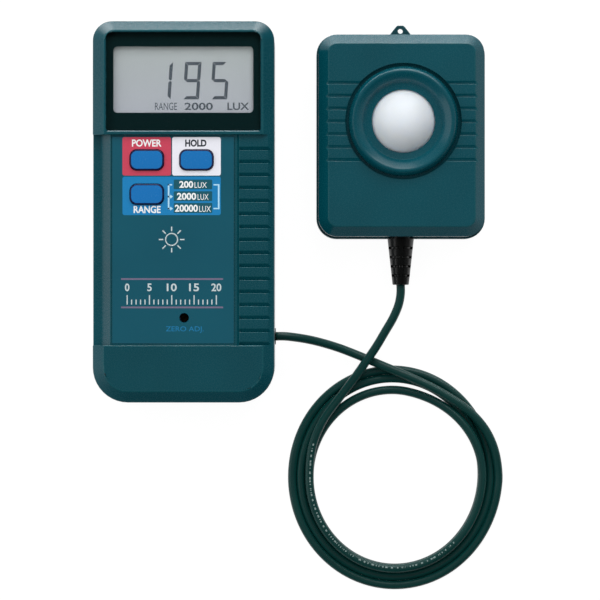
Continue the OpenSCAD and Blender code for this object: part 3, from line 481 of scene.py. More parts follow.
shellPlan = {  # node, body, slot, then what softShell takes
    "front_shell": ("front_case", "meter", "case_plastic", 0.35, frontOuter, caseOutline, absTeal,
                    reshapeCase),
    "rear_shell": ("rear_case", "meter", "case_plastic", 0.3, backOuter, caseOutline, absRear, None),
    "cover_shell": ("battery_cover", "cover", "case_plastic", 0.2, coverOuter, caseOutline, absRear, None),
    "sensor_front_shell": ("sensor_front_case", "meter", "sensor_plastic", 0.3, sensorOuter, sensorOutline,
                           absSensor, reshapeSensor),
    "sensor_rear_shell": ("sensor_rear_case", "meter", "sensor_plastic", 0.25, backOuter, sensorOutline,
                          absRear, None),
}
for name, (node, body, slot, *shape) in shellPlan.items():
    keepPiece(softShell(name, node, *shape), body, slot, node)
print("shells made")


def skin(rows, bm):
    count = len(rows[0])
    for low, high in zip(rows, rows[1:]):
        for k in range(count):
            j = (k + 1) % count
            bm.faces.new((low[k], low[j], high[j], high[k])).smooth = True


def addSkins(name, shells, *materials, isRing=False, sharpFrom=38):
    # closed skins over loops of equal length: capped at both ends, or back to the first loop
    bm = bmesh.new()
    for loops in shells:
        rows = [[bm.verts.new(Vector(p) * mm) for p in loop] for loop in loops]
        skin(rows + rows[:1] if isRing else rows, bm)
        if not isRing:
            bm.faces.new(list(reversed(rows[0])))
            bm.faces.new(rows[-1])
    return addObject(name, meshFrom(name, bm, sharpFrom), *materials)


def latheLoops(profile, middle, sides):
    x, y = middle
    return [[(x + r * cos(a), y + r * sin(a), z) for a in roundAngles(sides)] for r, z in profile]


def roundedLoop(middle, width, height, radii, z, perCorner=8):
    # radii: one for all corners, or upper and lower
    x, y = middle
    upper, lower = radii if isinstance(radii, tuple) else (radii, radii)
    points = []
    for turn, (sx, sy) in enumerate(((1, 1), (-1, 1), (-1, -1), (1, -1))):
        radius = upper if sy > 0 else lower
        for k in range(perCorner + 1):
            a = pi / 2 * (turn + k / perCorner)
            points.append((x + sx * (width / 2 - radius) + radius * cos(a),
                           y + sy * (height / 2 - radius) + radius * sin(a), z))
    return points


# the ring round the dome, turned: leaning outer wall, rounded crest, sloping dish, step, flat floor
ringPlan = {"sides": 144, "profile": [
    (12.3, 20.9), (14.9, 20.9), (14.9, 20.5), (21.35, 20.5), (21.4, 20.6), (21.26, 22.2), (21.14, 22.64),
    (20.98, 22.98), (20.36, 24.34), (20.16, 24.68), (19.9, 24.93), (19.58, 25.1), (19.22, 25.18),
    (18.88, 25.13), (18.55, 25.0), (18.3, 24.84), (16.3, 23.5), (16.14, 23.36), (16.0, 23.18),
    (15.12, 21.85), (15.0, 21.71), (14.84, 21.65), (12.45, 21.65), (12.35, 21.6), (12.3, 21.5)]}
ringLoops = latheLoops(ringPlan["profile"], domeMiddle, ringPlan["sides"])
ring = addSkins("dome_ring_turned", [ringLoops], absSensor, isRing=True)
keepPiece(ring, "meter", "sensor_plastic", "dome_ring")

# opal acrylic: white all through, so that shade on it stays soft and a little cool
opal, shader = newMaterial("opalAcrylicWhite", {
    "IOR": 1.49, "Subsurface Weight": 1, "Subsurface Scale": 5 * mm, "Subsurface Radius": (1, 0.9, 0.78)})
mottle(shader, 0.8, 3, tones=("#e4ecff", "#eaf1ff"), gloss=(0.42, 0.55))
domePlan = {"sides": 128, "radius": 12.1, "rimZ": 21.15, "rise": 7.5, "wall": 1.8, "seatZ": 19.6,
            "flangeZ": 20.85, "flangeRadius": 14.6, "rows": 28, "innerRows": 12, "pole": 0.02}
radius, rise, rimZ, pole = (domePlan[key] for key in ("radius", "rise", "rimZ", "pole"))
flangeZ, flangeRadius, seatZ = (domePlan[key] for key in ("flangeZ", "flangeRadius", "seatZ"))
ball = (radius ** 2 + rise ** 2) / (2 * rise)
ballZ = rimZ + rise - ball
inBall = ball - domePlan["wall"]
sweep = asin(radius / ball)
inSweep = acos((rimZ - ballZ) / inBall)


def ballArc(size, turns):
    return [(size * sin(a), ballZ + size * cos(a)) for a in turns]


domeProfile = [
    (pole, ballZ + ball),
    *ballArc(ball, [sweep * k / domePlan["rows"] for k in range(1, domePlan["rows"] + 1)]),
    (radius, flangeZ), (flangeRadius, flangeZ), (flangeRadius, seatZ), (inBall * sin(inSweep), seatZ),
    *ballArc(inBall, [inSweep * k / domePlan["innerRows"] for k in range(domePlan["innerRows"], 0, -1)]),
    (pole, ballZ + inBall)]
dome = addSkins("opal_dome", [latheLoops(domeProfile, domeMiddle, domePlan["sides"])], opal)
keepPiece(dome, "meter", "dome_white", "diffuser_dome")
print("ring and dome made")

# ribbed strain relief: five rows, slots between them that stop at four spines; stops are where its loops lie
bootPlan = {"x": 84.5, "z": 9, "faceY": -9.9, "length": 18.1, "big": 5.2, "small": 3.2, "rows": 5,
            "slot": 0.8, "deep": 0.9, "spine": 1.4, "soft": 0.16, "sides": 112, "neck": 4.1, "flange": 5.6,
            "flangeThick": 2, "inside": 3, "tipDrop": 0.25, "slotStops": (0.26, 0.32, 0.38, 0.44, 0.5, 0.62),
            "tipStops": (0.45, 0.32, 0.24, 0.16, 0.08, 0)}
rowStep = bootPlan["length"] / bootPlan["rows"]
bootAngles = roundAngles(bootPlan["sides"])


def bootRadius(u, a, plan):
    # u runs along the boot from the sensor, a is the angle round it
    r = plan["big"] - (plan["big"] - plan["small"]) * u / plan["length"]
    near = min(abs(u - rowStep * i) for i in range(1, plan["rows"]))
    slot = 1 - smoothRamp((near - plan["slot"] / 2) / plan["soft"] + 0.5)
    fromSpine = abs((a + pi / 4) % (pi / 2) - pi / 4) * r
    slotOpen = smoothRamp((fromSpine - plan["spine"] / 2) / plan["soft"] + 0.5)
    edge = plan["soft"] * 2
    tip = max(0, u - plan["length"] + edge) / edge
    return r - plan["deep"] * slot * slotOpen - plan["tipDrop"] * tip * tip


def bootLoop(y, radii):
    return [(bootPlan["x"] + r * cos(a), y, bootPlan["z"] + r * sin(a))
            for a, r in zip(bootAngles, radii)]


bootStops = [0.0]
for i in range(1, bootPlan["rows"]):
    aside = bootPlan["slotStops"]
    bootStops += [rowStep * i + d for d in (*(-d for d in reversed(aside)), 0, *aside)]
bootStops += [bootPlan["length"] - d for d in bootPlan["tipStops"]]
faceY, flange, neck = bootPlan["faceY"], bootPlan["flange"], bootPlan["neck"]
neckY = faceY + bootPlan["inside"]
collar = ((flange, neckY + bootPlan["flangeThick"]), (flange, neckY), (neck, neckY), (neck, faceY))
bootLoops = [bootLoop(y, [r] * bootPlan["sides"]) for r, y in collar]
bootLoops += [bootLoop(faceY - u, [bootRadius(u, a, bootPlan) for a in bootAngles]) for u in bootStops]
keepPiece(addSkins("ribbed_boot", [bootLoops], bootRubber), "meter", "boot_rubber", "strain_relief")
print("boot made")

# keys: blue face in a rim darkened with painted shade, stem and flange below; rim and face are insets and
# depths
keyPlan = {"width": 13, "height": 7.9, "radius": 2.8, "leastRadius": 0.6, "flange": 1.2, "flangeThick": 1,
           "flangeDown": 4.5, "stemRadius": 2, "face": [(0.72, 0.035), (1.4, 0.012), (2.1, 0)],
           "rim": [(0, 0.55), (0.04, 0.34), (0.13, 0.18), (0.27, 0.09), (0.55, 0.05)]}


def keyLoop(middle, inset, z):
    radius = max(keyPlan["leastRadius"], keyPlan["radius"] - inset)
    return roundedLoop(middle, keyPlan["width"] - 2 * inset, keyPlan["height"] - 2 * inset, radius, z)


def stemLoop(middle, z):
    turns = [atan2(p[1] - middle[1], p[0] - middle[0]) for p in keyLoop(middle, 0, z)]
    r = keyPlan["stemRadius"]
    return [(middle[0] + r * cos(a), middle[1] + r * sin(a), z) for a in turns]


flangeZ = boxOf("front_case")[1][2] - keyPlan["flangeDown"]
rise, wide = flangeZ + keyPlan["flangeThick"], -keyPlan["flange"]
for key in ("power", "hold", "range"):
    low, high, (*middle, _) = boxOf(key + "_button")
    loops = [stemLoop(middle, z) for z in (low[2], flangeZ)]
    loops += [keyLoop(middle, inset, z) for inset, z in ((wide, flangeZ), (wide, rise), (0, rise))]
    loops += [keyLoop(middle, inset, high[2] - down) for inset, down in keyPlan["rim"] + keyPlan["face"]]
    cap = addSkins(key + "_key_cap", [loops], keyRimPaintedShade, keyPlastic)
    # faces above the rim get the blue; the rim and everything below keep the painted shade of the gap
    for face in cap.data.polygons:
        if face.center.z > (high[2] - keyPlan["rim"][-1][1]) * mm:
            face.material_index = 1
    keepPiece(cap, key + "_key", "key_blue", key + "_button")
print("keys made")

# cast acrylic: clear and polished, coated against glare, which the low IOR stands for
acrylic, shader = newMaterial("castAcrylicClear", {
    "Base Color": "#ffffff", "IOR": 1.2, "Transmission Weight": 1})
mottle(shader, 8, 2, gloss=(0.02, 0.06))
windowPlan = {"corners": (2.2, 0.8), "edge": [(0, 0.1), (0.03, 0.03), (0.1, 0)]}
low, high, (*middle, _) = boxOf("window_lens")
windowStops = [(0, low[2])] + [(inset, high[2] - down) for inset, down in windowPlan["edge"]]
windowLoops = [roundedLoop(middle, high[0] - low[0] - 2 * d, high[1] - low[1] - 2 * d,
                           tuple(r - d for r in windowPlan["corners"]), z) for d, z in windowStops]
window = addSkins("clear_window", [windowLoops], acrylic, sharpFrom=12)
window.visible_shadow = False
keepPiece(window, "meter", "lens_clear", "window_lens")

# polarised glass over a grey reflector: pale grey, a little bluer towards the low edge, with a fine speck
lcdPlan = {"fade": (37.6, 63.6), "tones": ("#959aa2", "#949c9c"), "specks": ("#ececec", "#ffffff")}
lcdGlass, shader = newMaterial("liquidCrystalGlass", {"Roughness": 0.5, "IOR": 1.5})
add = partial(addNode, shader.id_data)
split = add("SeparateXYZ", {0: add("TexCoord").outputs["Object"]}).outputs
fade = add("MapRange", {
    "Value": split["Y"], "From Min": lcdPlan["fade"][0] * mm, "From Max": lcdPlan["fade"][1] * mm})
film = mottle(shader, 0.5, 2)
tone, speck = (add("Mix", {"Factor": factor, "A": ends[0], "B": ends[1]}, data_type="RGBA")
               for factor, ends in ((fade, lcdPlan["tones"]), (film, lcdPlan["specks"])))
both = {"Factor": 1.0, "A": tone, "B": speck}
feed(shader, {"Base Color": add("Mix", both, data_type="RGBA", blend_type="MULTIPLY")})

# heights of the legend plate and of the prints on it
panelZ = 34.4
inkTop, barTop, numberTop = panelZ + 0.02, panelZ + 0.012, panelZ + 0.03


def solidSheets(name, outlines, material, z0=panelZ, z1=inkTop):
    # thin closed prisms on flat outlines, every edge sharp
    shells = [[[(x, y, z) for x, y in outline] for z in (z0, z1)] for outline in outlines]
    return addSkins(name, shells, material, sharpFrom=1)


def printedWords(name, rows, material, z0=panelZ, z1=inkTop):
    # each row: words, low x, high x, low y, high y, weight
    bm = bmesh.new()
    for words, x0, x1, y0, y1, weight in rows:
        curve = settle(bpy.data.curves.new(name, "FONT"), body=words, size=1, offset=weight, extrude=0.5,
                       resolution_u=4)
        made = takeMesh(bpy.data.objects.new(name, curve))
        xs = [v.co.x for v in made.vertices]
        ys = [v.co.y for v in made.vertices]
        scale = ((x1 - x0) / (max(xs) - min(xs)), (y1 - y0) / (max(ys) - min(ys)), z1 - z0, 1)
        shift = Matrix.Translation((-min(xs), -min(ys), curve.extrude))
        place = Matrix.Scale(mm, 4) @ Matrix.Translation((x0, y0, z0))
        made.transform(place @ Matrix.Diagonal(scale) @ shift)
        bm.from_mesh(made)
        bpy.data.meshes.remove(made)
    bmesh.ops.remove_doubles(bm, verts=bm.verts, dist=softPlan["tiny"] * mm)
    return addObject(name, meshFrom(name, bm), material)


# seven bars to a digit, mitred, leaning; each digit: bars lit, left and right, free ends cut back
digitPlan = {"bar": 1.25, "lean": tan(radians(4)), "gap": 0.07, "low": 43.32, "high": 57.72,
             "endCut": 0.6, "panelZ": 32.6, "thick": 0.03, "digits": [
                 ("bc", -11.3, -5.0, {}), ("abcdfg", -0.35, 5.95, {"d": (0.25, 0)}),
                 ("acdfg", 10.25, 16.8, {"a": (0, 1.2), "d": (0.6, 0)})]}


def digitOutlines(bars, x0, x1, cuts, plan):
    w, g = plan["bar"], plan["gap"]
    y0, y1 = plan["low"], plan["high"]
    ym, h = (y0 + y1) / 2, w / 2

    def flatBar(y, left=0, right=0):
        return [(x0 + g + left, y), (x0 + g + w + left / 2, y - w), (x1 - g - w - right, y - w),
                (x1 - g - right, y)]

    shapes = {
        "a": flatBar(y1, *cuts.get("a", ())),
        "d": [(x, 2 * y0 - y) for x, y in flatBar(y0, *cuts.get("d", ()))],
        "g": [(x0 + g + h, ym), (x0 + g + w, ym + h), (x1 - g - w, ym + h), (x1 - g - h, ym),
              (x1 - g - w, ym - h), (x0 + g + w, ym - h)],
        "f": [(x0, y1 - g), (x0 + w, y1 - g - w), (x0 + w, ym + h + g), (x0 + h, ym + g),
              (x0, ym + g + h * plan["endCut"])],
    }
    shapes["b"] = [(x0 + x1 - x, y) for x, y in shapes["f"]]
    shapes["c"] = [(x, y0 + y1 - y) for x, y in shapes["b"]]
    return [[(x + (y - y0) * plan["lean"], y) for x, y in shapes[b]] for b in bars]


segments = [outline for digit in digitPlan["digits"] for outline in digitOutlines(*digit, digitPlan)]
inkRise = digitPlan["panelZ"] + digitPlan["thick"]
keepPiece(solidSheets("lcd_digits", segments, lcdInk, digitPlan["panelZ"], inkRise), "meter", "lcd_grey")
smallRow = printedWords("lcd_small_row", [
    ("RANGE", -11.0, -2.5, 39.2, 42.05, 0.0), ("2000", 0.4, 11.3, 39.2, 42.05, 0.02),
    ("LUX", 16.9, 25.3, 39.2, 42.05, 0.02)], lcdInk, digitPlan["panelZ"], inkRise)
keepPiece(smallRow, "meter", "lcd_grey")
print("display made")


def strip(x0, x1, y0, y1):
    return [(x0, y0), (x1, y0), (x1, y1), (x0, y1)]


# printing on the legend plate
barPlan = {"middleX": 3.7, "width": 14.8, "rows": ((8.65, 12.35), (4.1, 7.85), (-0.5, 3.35)), "corner": 0.35}
barLoops = [roundedLoop((barPlan["middleX"], (a + b) / 2), barPlan["width"], b - a, barPlan["corner"], 0, 4)
            for a, b in barPlan["rows"]]
barOutlines = [[point[:2] for point in loop] for loop in barLoops]
bracketPlan = {"arrows": (5.8, 1.2), "strips": [
    (-5.95, -5.35, 0.95, 10.6), (-5.95, -4.3, 10.1, 10.6), (13.3, 13.9, 0.95, 10.6), (11.6, 13.3, 10.1, 10.6),
    (11.6, 13.3, 0.95, 1.45)], "arrow": [
    (-5.95, -0.3), (-5.0, -0.3), (-5.0, -0.75), (-3.95, 0), (-5.0, 0.75), (-5.0, 0.3), (-5.95, 0.3)]}
brackets = [strip(*ends) for ends in bracketPlan["strips"]]
brackets += [[(x, y + up) for x, up in bracketPlan["arrow"]] for y in bracketPlan["arrows"]]
rules = [strip(-23.9, 15.3, *ends) for ends in ((-26.23, -25.57), (-37.13, -36.47))]
legendPlan = {  # slot, how it is made, what, ink, and z from and to where they differ
    "key_labels_white": ("white_print", printedWords, [
        ("POWER", -19.75, -8.4, 25.0, 27.8, 0.025), ("RANGE", -19.1, -8.7, -0.55, 2.25, 0.025)],
        inks["LabelWhite"]),
    "key_label_dark": ("legend_print", printedWords, [("HOLD", 0.7, 8.9, 25.0, 27.75, 0.04)], inks["Dark"]),
    "range_bars": ("legend_print", solidSheets, barOutlines, inks["Bar"], panelZ, barTop),
    "range_numbers": ("white_print", printedWords, [
        ("200", -1.55, 3.8, 9.15, 11.8, 0.03), ("LUX", 4.3, 9.05, 9.15, 11.35, 0.0),
        ("2000", -2.45, 4.95, 4.55, 7.25, 0.03), ("LUX", 5.5, 9.7, 4.55, 6.8, 0.0),
        ("20000", -3.25, 5.6, -0.05, 2.7, 0.03), ("LUX", 6.1, 10.6, -0.05, 2.2, 0.0)],
        inks["LabelWhite"], barTop, numberTop),
    "range_brackets": ("white_print", solidSheets, brackets, inks["Cyan"]),
    "zero_label": ("blue_print", printedWords, [("ZERO ADJ.", -6.7, 7.8, -46.6, -44.1, 0.0)],
                   inks["ZeroBlue"]),
    "legend_rules": ("legend_print", solidSheets, rules, inks["Mauve"]),
}
for name, (slot, maker, *shape) in legendPlan.items():
    keepPiece(maker(name, *shape), "meter", slot)


# what repeats is grown by geometry nodes: named sizes in, plain mesh out
def growTree(name, inputs):
    # each input is told by its kind, or by a size of that kind
    tree = bpy.data.node_groups.new(name, "GeometryNodeTree")
    for label, value in inputs.items():
        kind = value if isinstance(value, str) else "Int" if isinstance(value, int) else "Float"
        tree.interface.new_socket(label, in_out="INPUT", socket_type="NodeSocket" + kind)
    tree.interface.new_socket("Geometry", in_out="OUTPUT", socket_type="NodeSocketGeometry")
    return tree, partial(addNode, tree), addNode(tree, "NodeGroupInput").outputs


def closeTree(tree, grown, material):
    real = addNode(tree, "GeometryNodeRealizeInstances", {"Geometry": grown})
    dressed = addNode(tree, "GeometryNodeSetMaterial", {"Geometry": real, "Material": material})
    addNode(tree, "NodeGroupOutput", {"Geometry": dressed})


def grownMesh(name, tree, sizes, places=()):
    # places are points that the tree starts from
    seedMesh = bpy.data.meshes.new(name + "_seed")
    seedMesh.from_pydata([[c * mm for c in p] for p in places], [], [])
    holder = bpy.data.objects.new(name, seedMesh)
    grow = holder.modifiers.new("grow", "NODES")
    grow.node_group = tree
    for item in tree.interface.items_tree:
        if item.in_out == "INPUT" and item.name in sizes:
            grow[item.identifier] = sizes[item.name]
    mesh = takeMesh(holder)
    for face in mesh.polygons:
        face.material_index = 0
    return mesh


def barsOnLine(add, lengths, shift, line, placing):
    size = add("CombineXYZ", lengths)
    bar = add("GeometryNodeMeshCube", {"Size": size})
    moved = add("GeometryNodeTransform", {"Geometry": bar, "Translation": shift})
    points = add("GeometryNodeMeshLine", line)
    return add("GeometryNodeInstanceOnPoints", {"Points": points, "Instance": moved, **placing})


def printGrown(name, tree, grown, plan):
    sizes = {label: value if isinstance(value, int) else value * mm for label, value in plan["sizes"].items()}
    closeTree(tree, grown, inks["Scale"])
    made = grownMesh(name, tree, sizes)
    place = (*plan["start"], panelZ + plan["sizes"]["Thick"] / 2)
    made.transform(Matrix.Translation([c * mm for c in place]))
    keepPiece(addObject(name, made, inks["Scale"]), "meter", "white_print")


# a sun, drawn in line: a ring and its rays
sunPlan = {"start": (-4.5, -10.7), "sides": 64, "sizes": {
    "Ring": 2.3, "Line": 0.46, "Rays": 8, "Inner": 3.2, "Ray": 1.75, "Thick": 0.02}}
tree, add, size = growTree("sunSymbol", sunPlan["sizes"])
hoop = add("GeometryNodeCurvePrimitiveCircle", {"Resolution": sunPlan["sides"], "Radius": size["Ring"]})
section = add("GeometryNodeCurvePrimitiveQuadrilateral", {"Width": size["Line"], "Height": size["Thick"]})
rim = add("GeometryNodeCurveToMesh", {"Curve": hoop, "Profile Curve": section})
rayOut = add("Math", {0: size["Ray"], 1: 0.5, 2: size["Inner"]}, operation="MULTIPLY_ADD")
order = add("GeometryNodeInputIndex")
share = add("Math", {0: order, 1: size["Rays"]}, operation="DIVIDE")
angle = add("Math", {0: share, 1: 2 * pi}, operation="MULTIPLY")
rays = barsOnLine(add, {"X": size["Ray"], "Y": size["Line"], "Z": size["Thick"]},
                  add("CombineXYZ", {"X": rayOut}), {"Count": size["Rays"], "Offset": (0, 0, 0)},
                  {"Rotation": add("CombineXYZ", {"Z": angle})})
sun = add("GeometryNodeJoinGeometry", {0: rim})
printGrown("sun_symbol", tree, feed(sun, {0: rays}), sunPlan)

# a plain graduated scale between the two lines; glyphs are half widths in digits, for one figure and for two
scalePlan = {"start": (-21.6, -35.7), "numberY": (-30.6, -27.6), "digitWidth": 1.75, "glyphs": (0.5, 1.1),
             "weight": 0.02, "numbers": ("0", "5", "10", "15", "20"), "sizes": {
                 "Count": 21, "Every": 5, "Step": 1.715, "Width": 0.42, "Short": 1.9, "Long": 3.6,
                 "Thick": 0.02}}
tree, add, size = growTree("scaleTicks", scalePlan["sizes"])
order = add("GeometryNodeInputIndex")
beat = add("Math", {0: order, 1: size["Every"]}, operation="MODULO")
isLong = add("Math", {0: beat, 1: 0.5}, operation="LESS_THAN")
tall = add("MapRange", {"Value": isLong, "To Min": size["Short"], "To Max": size["Long"]})
ticks = barsOnLine(add, {"X": size["Width"], "Y": 1.0, "Z": size["Thick"]}, (0, 0.5, 0),
                   {"Count": size["Count"], "Offset": add("CombineXYZ", {"X": size["Step"]})},
                   {"Scale": add("CombineXYZ", {"X": 1.0, "Y": tall, "Z": 1.0})})
printGrown("scale_ticks", tree, ticks, scalePlan)
numberRows = []
for i, number in enumerate(scalePlan["numbers"]):
    across = scalePlan["start"][0] + scalePlan["sizes"]["Step"] * scalePlan["sizes"]["Every"] * i
    half = scalePlan["digitWidth"] * scalePlan["glyphs"][len(number) - 1]
    numberRows.append((number, across - half, across + half, *scalePlan["numberY"], scalePlan["weight"]))
keepPiece(printedWords("scale_numbers", numberRows, inks["Scale"]), "meter", "white_print")
print("legend made")

# nine volt block: a steel jacket with crimped ends and rounded corners, one stud and one cup
cellPlan = {"corner": 2.4, "terminal": 2.5, "apart": 6.35, "sides": 48, "dark": 0.035, "pale": 0.7,
            "bare": 0.965, "crimp": ((0.6, 0), (0.15, 0.15), (0, 0.5), (0, 1.2), (0.3, 1.5), (0, 1.8)),
            "stud": ((2.85, -0.2), (2.85, 2.2), (2.55, 2.5)),
            "cup": ((3.9, -0.2), (3.9, 2.3), (3.7, 2.5), (3.1, 2.5), (2.95, 2.3), (2.95, 0.4))}
low, high, middle = boxOf("battery")
cellTop = high[1] - cellPlan["terminal"]
cellEnds = [(inset, low[1] + up) for inset, up in cellPlan["crimp"]]
cellEnds += [(inset, cellTop - up) for inset, up in reversed(cellPlan["crimp"])]
cellShells = [[roundedLoop((middle[0], middle[2]), high[0] - low[0] - 2 * inset, high[2] - low[2] - 2 * inset,
                           cellPlan["corner"], y) for inset, y in cellEnds]]
for side, part in ((-1, "stud"), (1, "cup")):
    post = (middle[0] + side * cellPlan["apart"], middle[2])
    profile = [(r, cellTop + y) for r, y in cellPlan[part]]
    cellShells.append(latheLoops(profile, post, cellPlan["sides"]))
cellShells = [[[(x, y, z) for x, z, y in loop] for loop in loops] for loops in cellShells]
# tinned steel, bare at the crimps, lacquered dark with a pale band at the terminal end
jacket, shader = newMaterial("lacqueredSteelJacket", {"Roughness": 0.34})
add = partial(addNode, shader.id_data)
split = add("SeparateXYZ", {0: add("TexCoord").outputs["Object"]}).outputs
along = add("MapRange", {"Value": split["Y"], "From Min": low[1] * mm, "From Max": cellTop * mm})
tone = add("ValToRGB", {"Fac": along})
bands = tone.color_ramp
bands.interpolation = "CONSTANT"
bands.elements[1].position = cellPlan["bare"]
for stop in bands.elements:
    stop.color = hexColor("#a9aaa6")
for stop, shade in (("dark", "#1f2b40"), ("pale", "#a8adb3")):
    bands.elements.new(cellPlan[stop]).color = hexColor(shade)
painted = add("Math", {0: along, 1: 0.5, 2: cellPlan["bare"] - 0.5}, operation="COMPARE")
feed(shader, {"Base Color": tone,
              "Metallic": add("MapRange", {"Value": painted, "To Min": 1.0, "To Max": 0.0})})
keepPiece(addSkins("wrapped_battery", cellShells, jacket), "meter", "battery_wrap", "battery")
print("battery made")

# screws: pan head with a cross recess below, ridged shank above, each turned its own way
screwHeads = {"wide": {"head": 2.7, "headHigh": 2.2, "shank": 1.4},
              "narrow": {"head": 2.3, "headHigh": 1.6, "shank": 1.2}}
screwShape = {"sides": 40, "pitch": 0.9, "thread": 0.22, "soft": 0.7, "softSteps": 5, "crossWidth": 0.75,
              "crossDeep": 0.9, "crossShare": 0.62, "crossTaper": 0.82, "threadFrom": 0.3, "plain": 1.2,
              "tip": 0.8, "tipRadius": 0.4, "sharpFrom": 32, "seed": 7, "mostTurn": pi / 2}
sensorX, sensorY = sensorOutline["middle"]
screwPlan = {  # head, seat height, length, places
    "case_screws": ("wide", 8, 17, [(27.8, 26.6), (-27.8, 26.6), (23.5, -61.5), (-23.5, -61.5)]),
    "board_screws": ("narrow", 23, 6.1, [(25.5, 8.1), (-25.5, 8.1), (25.5, -43.4), (-25.5, -43.4)]),
    "sensor_screws": ("wide", 4, 10, [
        (sensorX + x, sensorY + y) for x in (24.65, -24.65) for y in (30.7, -30.7)]),
    "sensor_board_screws": ("narrow", 12, 4.6, [(domeMiddle[0] + x, domeMiddle[1]) for x in (18.1, -18.1)]),
}


def screwMesh(name, plan, long, shape):
    # head face with a cross-shaped hole, walls and floor of the cross, then the turned outside
    bm = bmesh.new()
    faceZ, soft, core = -plan["headHigh"], shape["soft"], plan["shank"] - shape["thread"]
    arm, half = plan["head"] * shape["crossShare"], shape["crossWidth"] / 2
    quarter = [(arm, half), (half, half), (half, arm)]
    cross = quarter + [(-x, y) for x, y in reversed(quarter)]
    cross += [(-x, -y) for x, y in cross]
    mouth, pit = ([bm.verts.new(Vector((x * taper, y * taper, z)) * mm) for x, y in cross]
                  for taper, z in ((1, faceZ), (shape["crossTaper"], faceZ + shape["crossDeep"])))
    skin([mouth, pit], bm)
    bm.faces.new(pit)
    turns = [pi / 2 * k / shape["softSteps"] for k in range(shape["softSteps"] + 1)]
    profile = [(plan["head"] - soft * (1 - sin(a)), faceZ + soft * (1 - cos(a))) for a in turns]
    profile += [(plan["head"], 0), (plan["shank"], 0)]
    for k in range(int((long - shape["plain"]) / shape["pitch"])):
        z = shape["threadFrom"] + k * shape["pitch"]
        profile += [(core, z), (plan["shank"], z + shape["pitch"] / 2)]
    profile += [(core, long - shape["tip"]), (shape["tipRadius"], long)]
    loops = latheLoops(profile, (0, 0), shape["sides"])
    rows = [[bm.verts.new(Vector(p) * mm) for p in loop] for loop in loops]
    skin(rows, bm)
    bm.faces.new(rows[-1])
    brims = [bm.edges.get((loop[k], loop[k - 1])) for loop in (rows[0], mouth) for k in range(len(loop))]
    bmesh.ops.triangle_fill(bm, use_beauty=True, edges=brims)
    return meshFrom(name, bm, shape["sharpFrom"])


screwTree, add, size = growTree("turnedScrews", {
    "Places": "Geometry", "Screw": "Object", "Seed": "Int", "Most turn": "Float"})
pattern = add("GeometryNodeObjectInfo", {"Object": size["Screw"]})
turn = add("FunctionNodeRandomValue", {"Max": size["Most turn"], "Seed": size["Seed"]}, data_type="FLOAT")
facing = add("CombineXYZ", {"Z": turn})
screws = add("GeometryNodeInstanceOnPoints", {
    "Points": size["Places"], "Instance": pattern.outputs["Geometry"], "Rotation": facing})
closeTree(screwTree, screws, zincSteel)
for node, (head, seat, long, places) in screwPlan.items():
    name = node + "_pattern"
    screw = addObject(name, screwMesh(name, screwHeads[head], long, screwShape), zincSteel)
    sizes = {"Screw": screw, "Seed": screwShape["seed"], "Most turn": screwShape["mostTurn"]}
    made = grownMesh("turned_" + node, screwTree, sizes, [(x, y, seat) for x, y in places])
    bpy.data.objects.remove(screw)
    keepPiece(addObject("turned_" + node, made, zincSteel), "meter", "screw_steel", node)
print("screws made")

# what stays as packed gets its own finish
packed = {
    "legend_plate": filmTeal, "power_field": inks["Red"], "hold_field": inks["White"],
    "range_field": inks["Blue"], "display_mask": maskPaint, "lcd_panel": lcdGlass,
    "display_holder": nylonWhite, "contact_strips": contactRubber, "main_board": boardGreen,
    "power_plunger": nylonBlack, "hold_plunger": nylonBlack, "range_plunger": nylonBlack,
    "key_switches": nylonBlack, "trimmer_body": trimmerBlue, "trimmer_rotor": blackBrass,
    "meter_chip": epoxyBlack, "board_capacitors": sleeveBlue, "battery_snap": nylonBlack, "red_lead": wireRed,
    "black_lead": wireBlack, "battery_pad": foamGrey, "cord_grommet": bootRubber, "cord_tail": pvc,
    "signal_leads": wireGrey, "light_filter": filterGlass, "photodiode": epoxyBlack,
    "sensor_board": boardGreen, "sensor_leads": wireGrey,
}
for node, material in packed.items():
    nodes[node].data.materials.clear()
    nodes[node].data.materials.append(material)

# floor: white to the eye and to gloss, with a share of real shade so that the shadow stays; clear from below
floorPlan = {"reach": 30, "sides": 64, "drop": 0.05, "shade": 0.1, "glow": 0.95, "bounce": 0.2}
paper, shader = newMaterial("paperWhite", {
    "Base Color": (floorPlan["shade"],) * 3 + (1,), "Roughness": 1, "Specular IOR Level": 0,
    "Emission Color": "#ffffff"})
add = partial(addNode, shader.id_data)
path = add("LightPath").outputs
seen = path["Is Camera Ray"]
for ray in ("Is Glossy Ray", "Is Transmission Ray"):
    seen = add("Math", {0: seen, 1: path[ray]}, operation="MAXIMUM")
feed(shader, {"Emission Strength": add("MapRange", {
    "Value": seen, "To Min": floorPlan["bounce"], "To Max": floorPlan["glow"]})})
sides = add("MixShader", {
    0: add("NewGeometry").outputs["Backfacing"], 1: shader, 2: add("BsdfTransparent")})
feed(shader.id_data.nodes["Material Output"], {"Surface": sides})
bm = bmesh.new()
bmesh.ops.create_circle(bm, cap_ends=True, segments=floorPlan["sides"], radius=floorPlan["reach"])
floor = addObject("floor", meshFrom("floor", bm), paper)
floor.location.z = -floorPlan["drop"] * mm

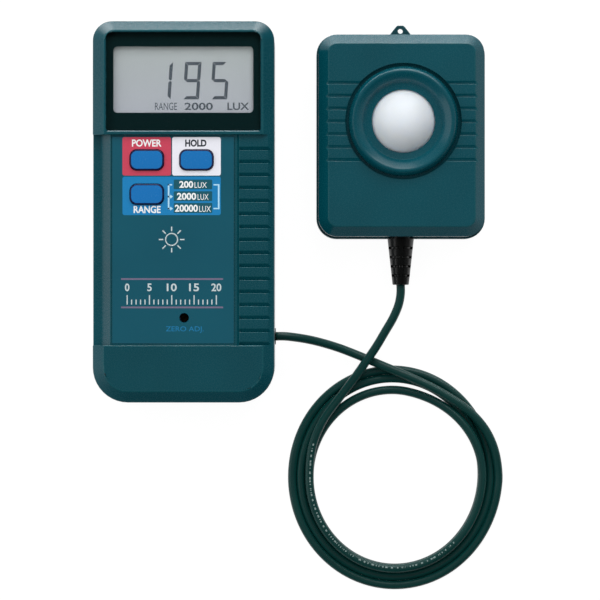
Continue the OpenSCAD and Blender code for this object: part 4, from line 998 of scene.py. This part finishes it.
# studio: white to the eye, to gloss white at the horizon and dim overhead; its own light is weakest low down
skyPlan = {  # a direction, the stretch of it, and the strength at each end
    "horizon": ("Z", 0.03, 0.22, 1.8, 0.04),
    "rightScreen": ("X", 0.2, 0.8, 1.0, 0.1),  # black screens on the right and in front
    "frontScreen": ("Y", -0.8, -0.1, 0.1, 1.0),
    "backStrip": ("Y", 0.55, 0.95, 1.0, 13.0),  # a long bright strip at the back
    "light": ("Z", 0.0, 1.0, 0.2, 1.4),
}
world = bpy.data.worlds.new("studio")
world.use_nodes = True
scene.world = world
add = partial(addNode, world.node_tree)
split = add("SeparateXYZ", {0: add("TexCoord").outputs["Generated"]}).outputs
ends, ramps = ("From Min", "From Max", "To Min", "To Max"), {}
for name, (axis, *stops) in skyPlan.items():
    ramps[name] = add("MapRange", {"Value": split[axis], **dict(zip(ends, stops))})
screens = add("Math", {0: ramps["rightScreen"], 1: ramps["frontScreen"]}, operation="MULTIPLY")
path = add("LightPath").outputs
shiny = add("Math", {0: path["Is Glossy Ray"], 1: path["Is Transmission Ray"]}, operation="SUBTRACT",
            use_clamp=True)
mirrored = ramps["horizon"]
for factor in (screens, ramps["backStrip"], shiny):
    mirrored = add("Math", {0: mirrored, 1: factor}, operation="MULTIPLY")
light = add("Math", {0: ramps["light"], 1: screens}, operation="MULTIPLY")
strength = add("MapRange", {"Value": shiny, "To Min": light, "To Max": 0.0})
for other in (mirrored, path["Is Camera Ray"]):
    strength = add("Math", {0: strength, 1: other}, operation="MAXIMUM")
feed(world.node_tree.nodes["Background"], {"Color": "#ffffff", "Strength": strength})

# lamps: name, place, size, watts
lampPlan = [
    ("key_softbox", (0.35, 1.0, 0.7), (1.0, 0.7), 8.2),
    ("left_softbox", (-0.8, 0.05, 0.5), (1.0, 0.3), 1.6),
    ("right_softbox", (0.95, 0.1, 0.55), (0.8, 0.5), 0.4),
]
aim = Vector((0.04, -0.03, 0.0))
for name, place, size, power in lampPlan:
    lamp = settle(bpy.data.lights.new(name, "AREA"), shape="RECTANGLE", energy=power)
    lamp.size, lamp.size_y = size
    turned = (aim - Vector(place)).to_track_quat("-Z", "Y").to_euler()
    holder = settle(bpy.data.objects.new(name, lamp), location=place, rotation_euler=turned)
    scene.collection.objects.link(holder)
print("stage and lamps set")
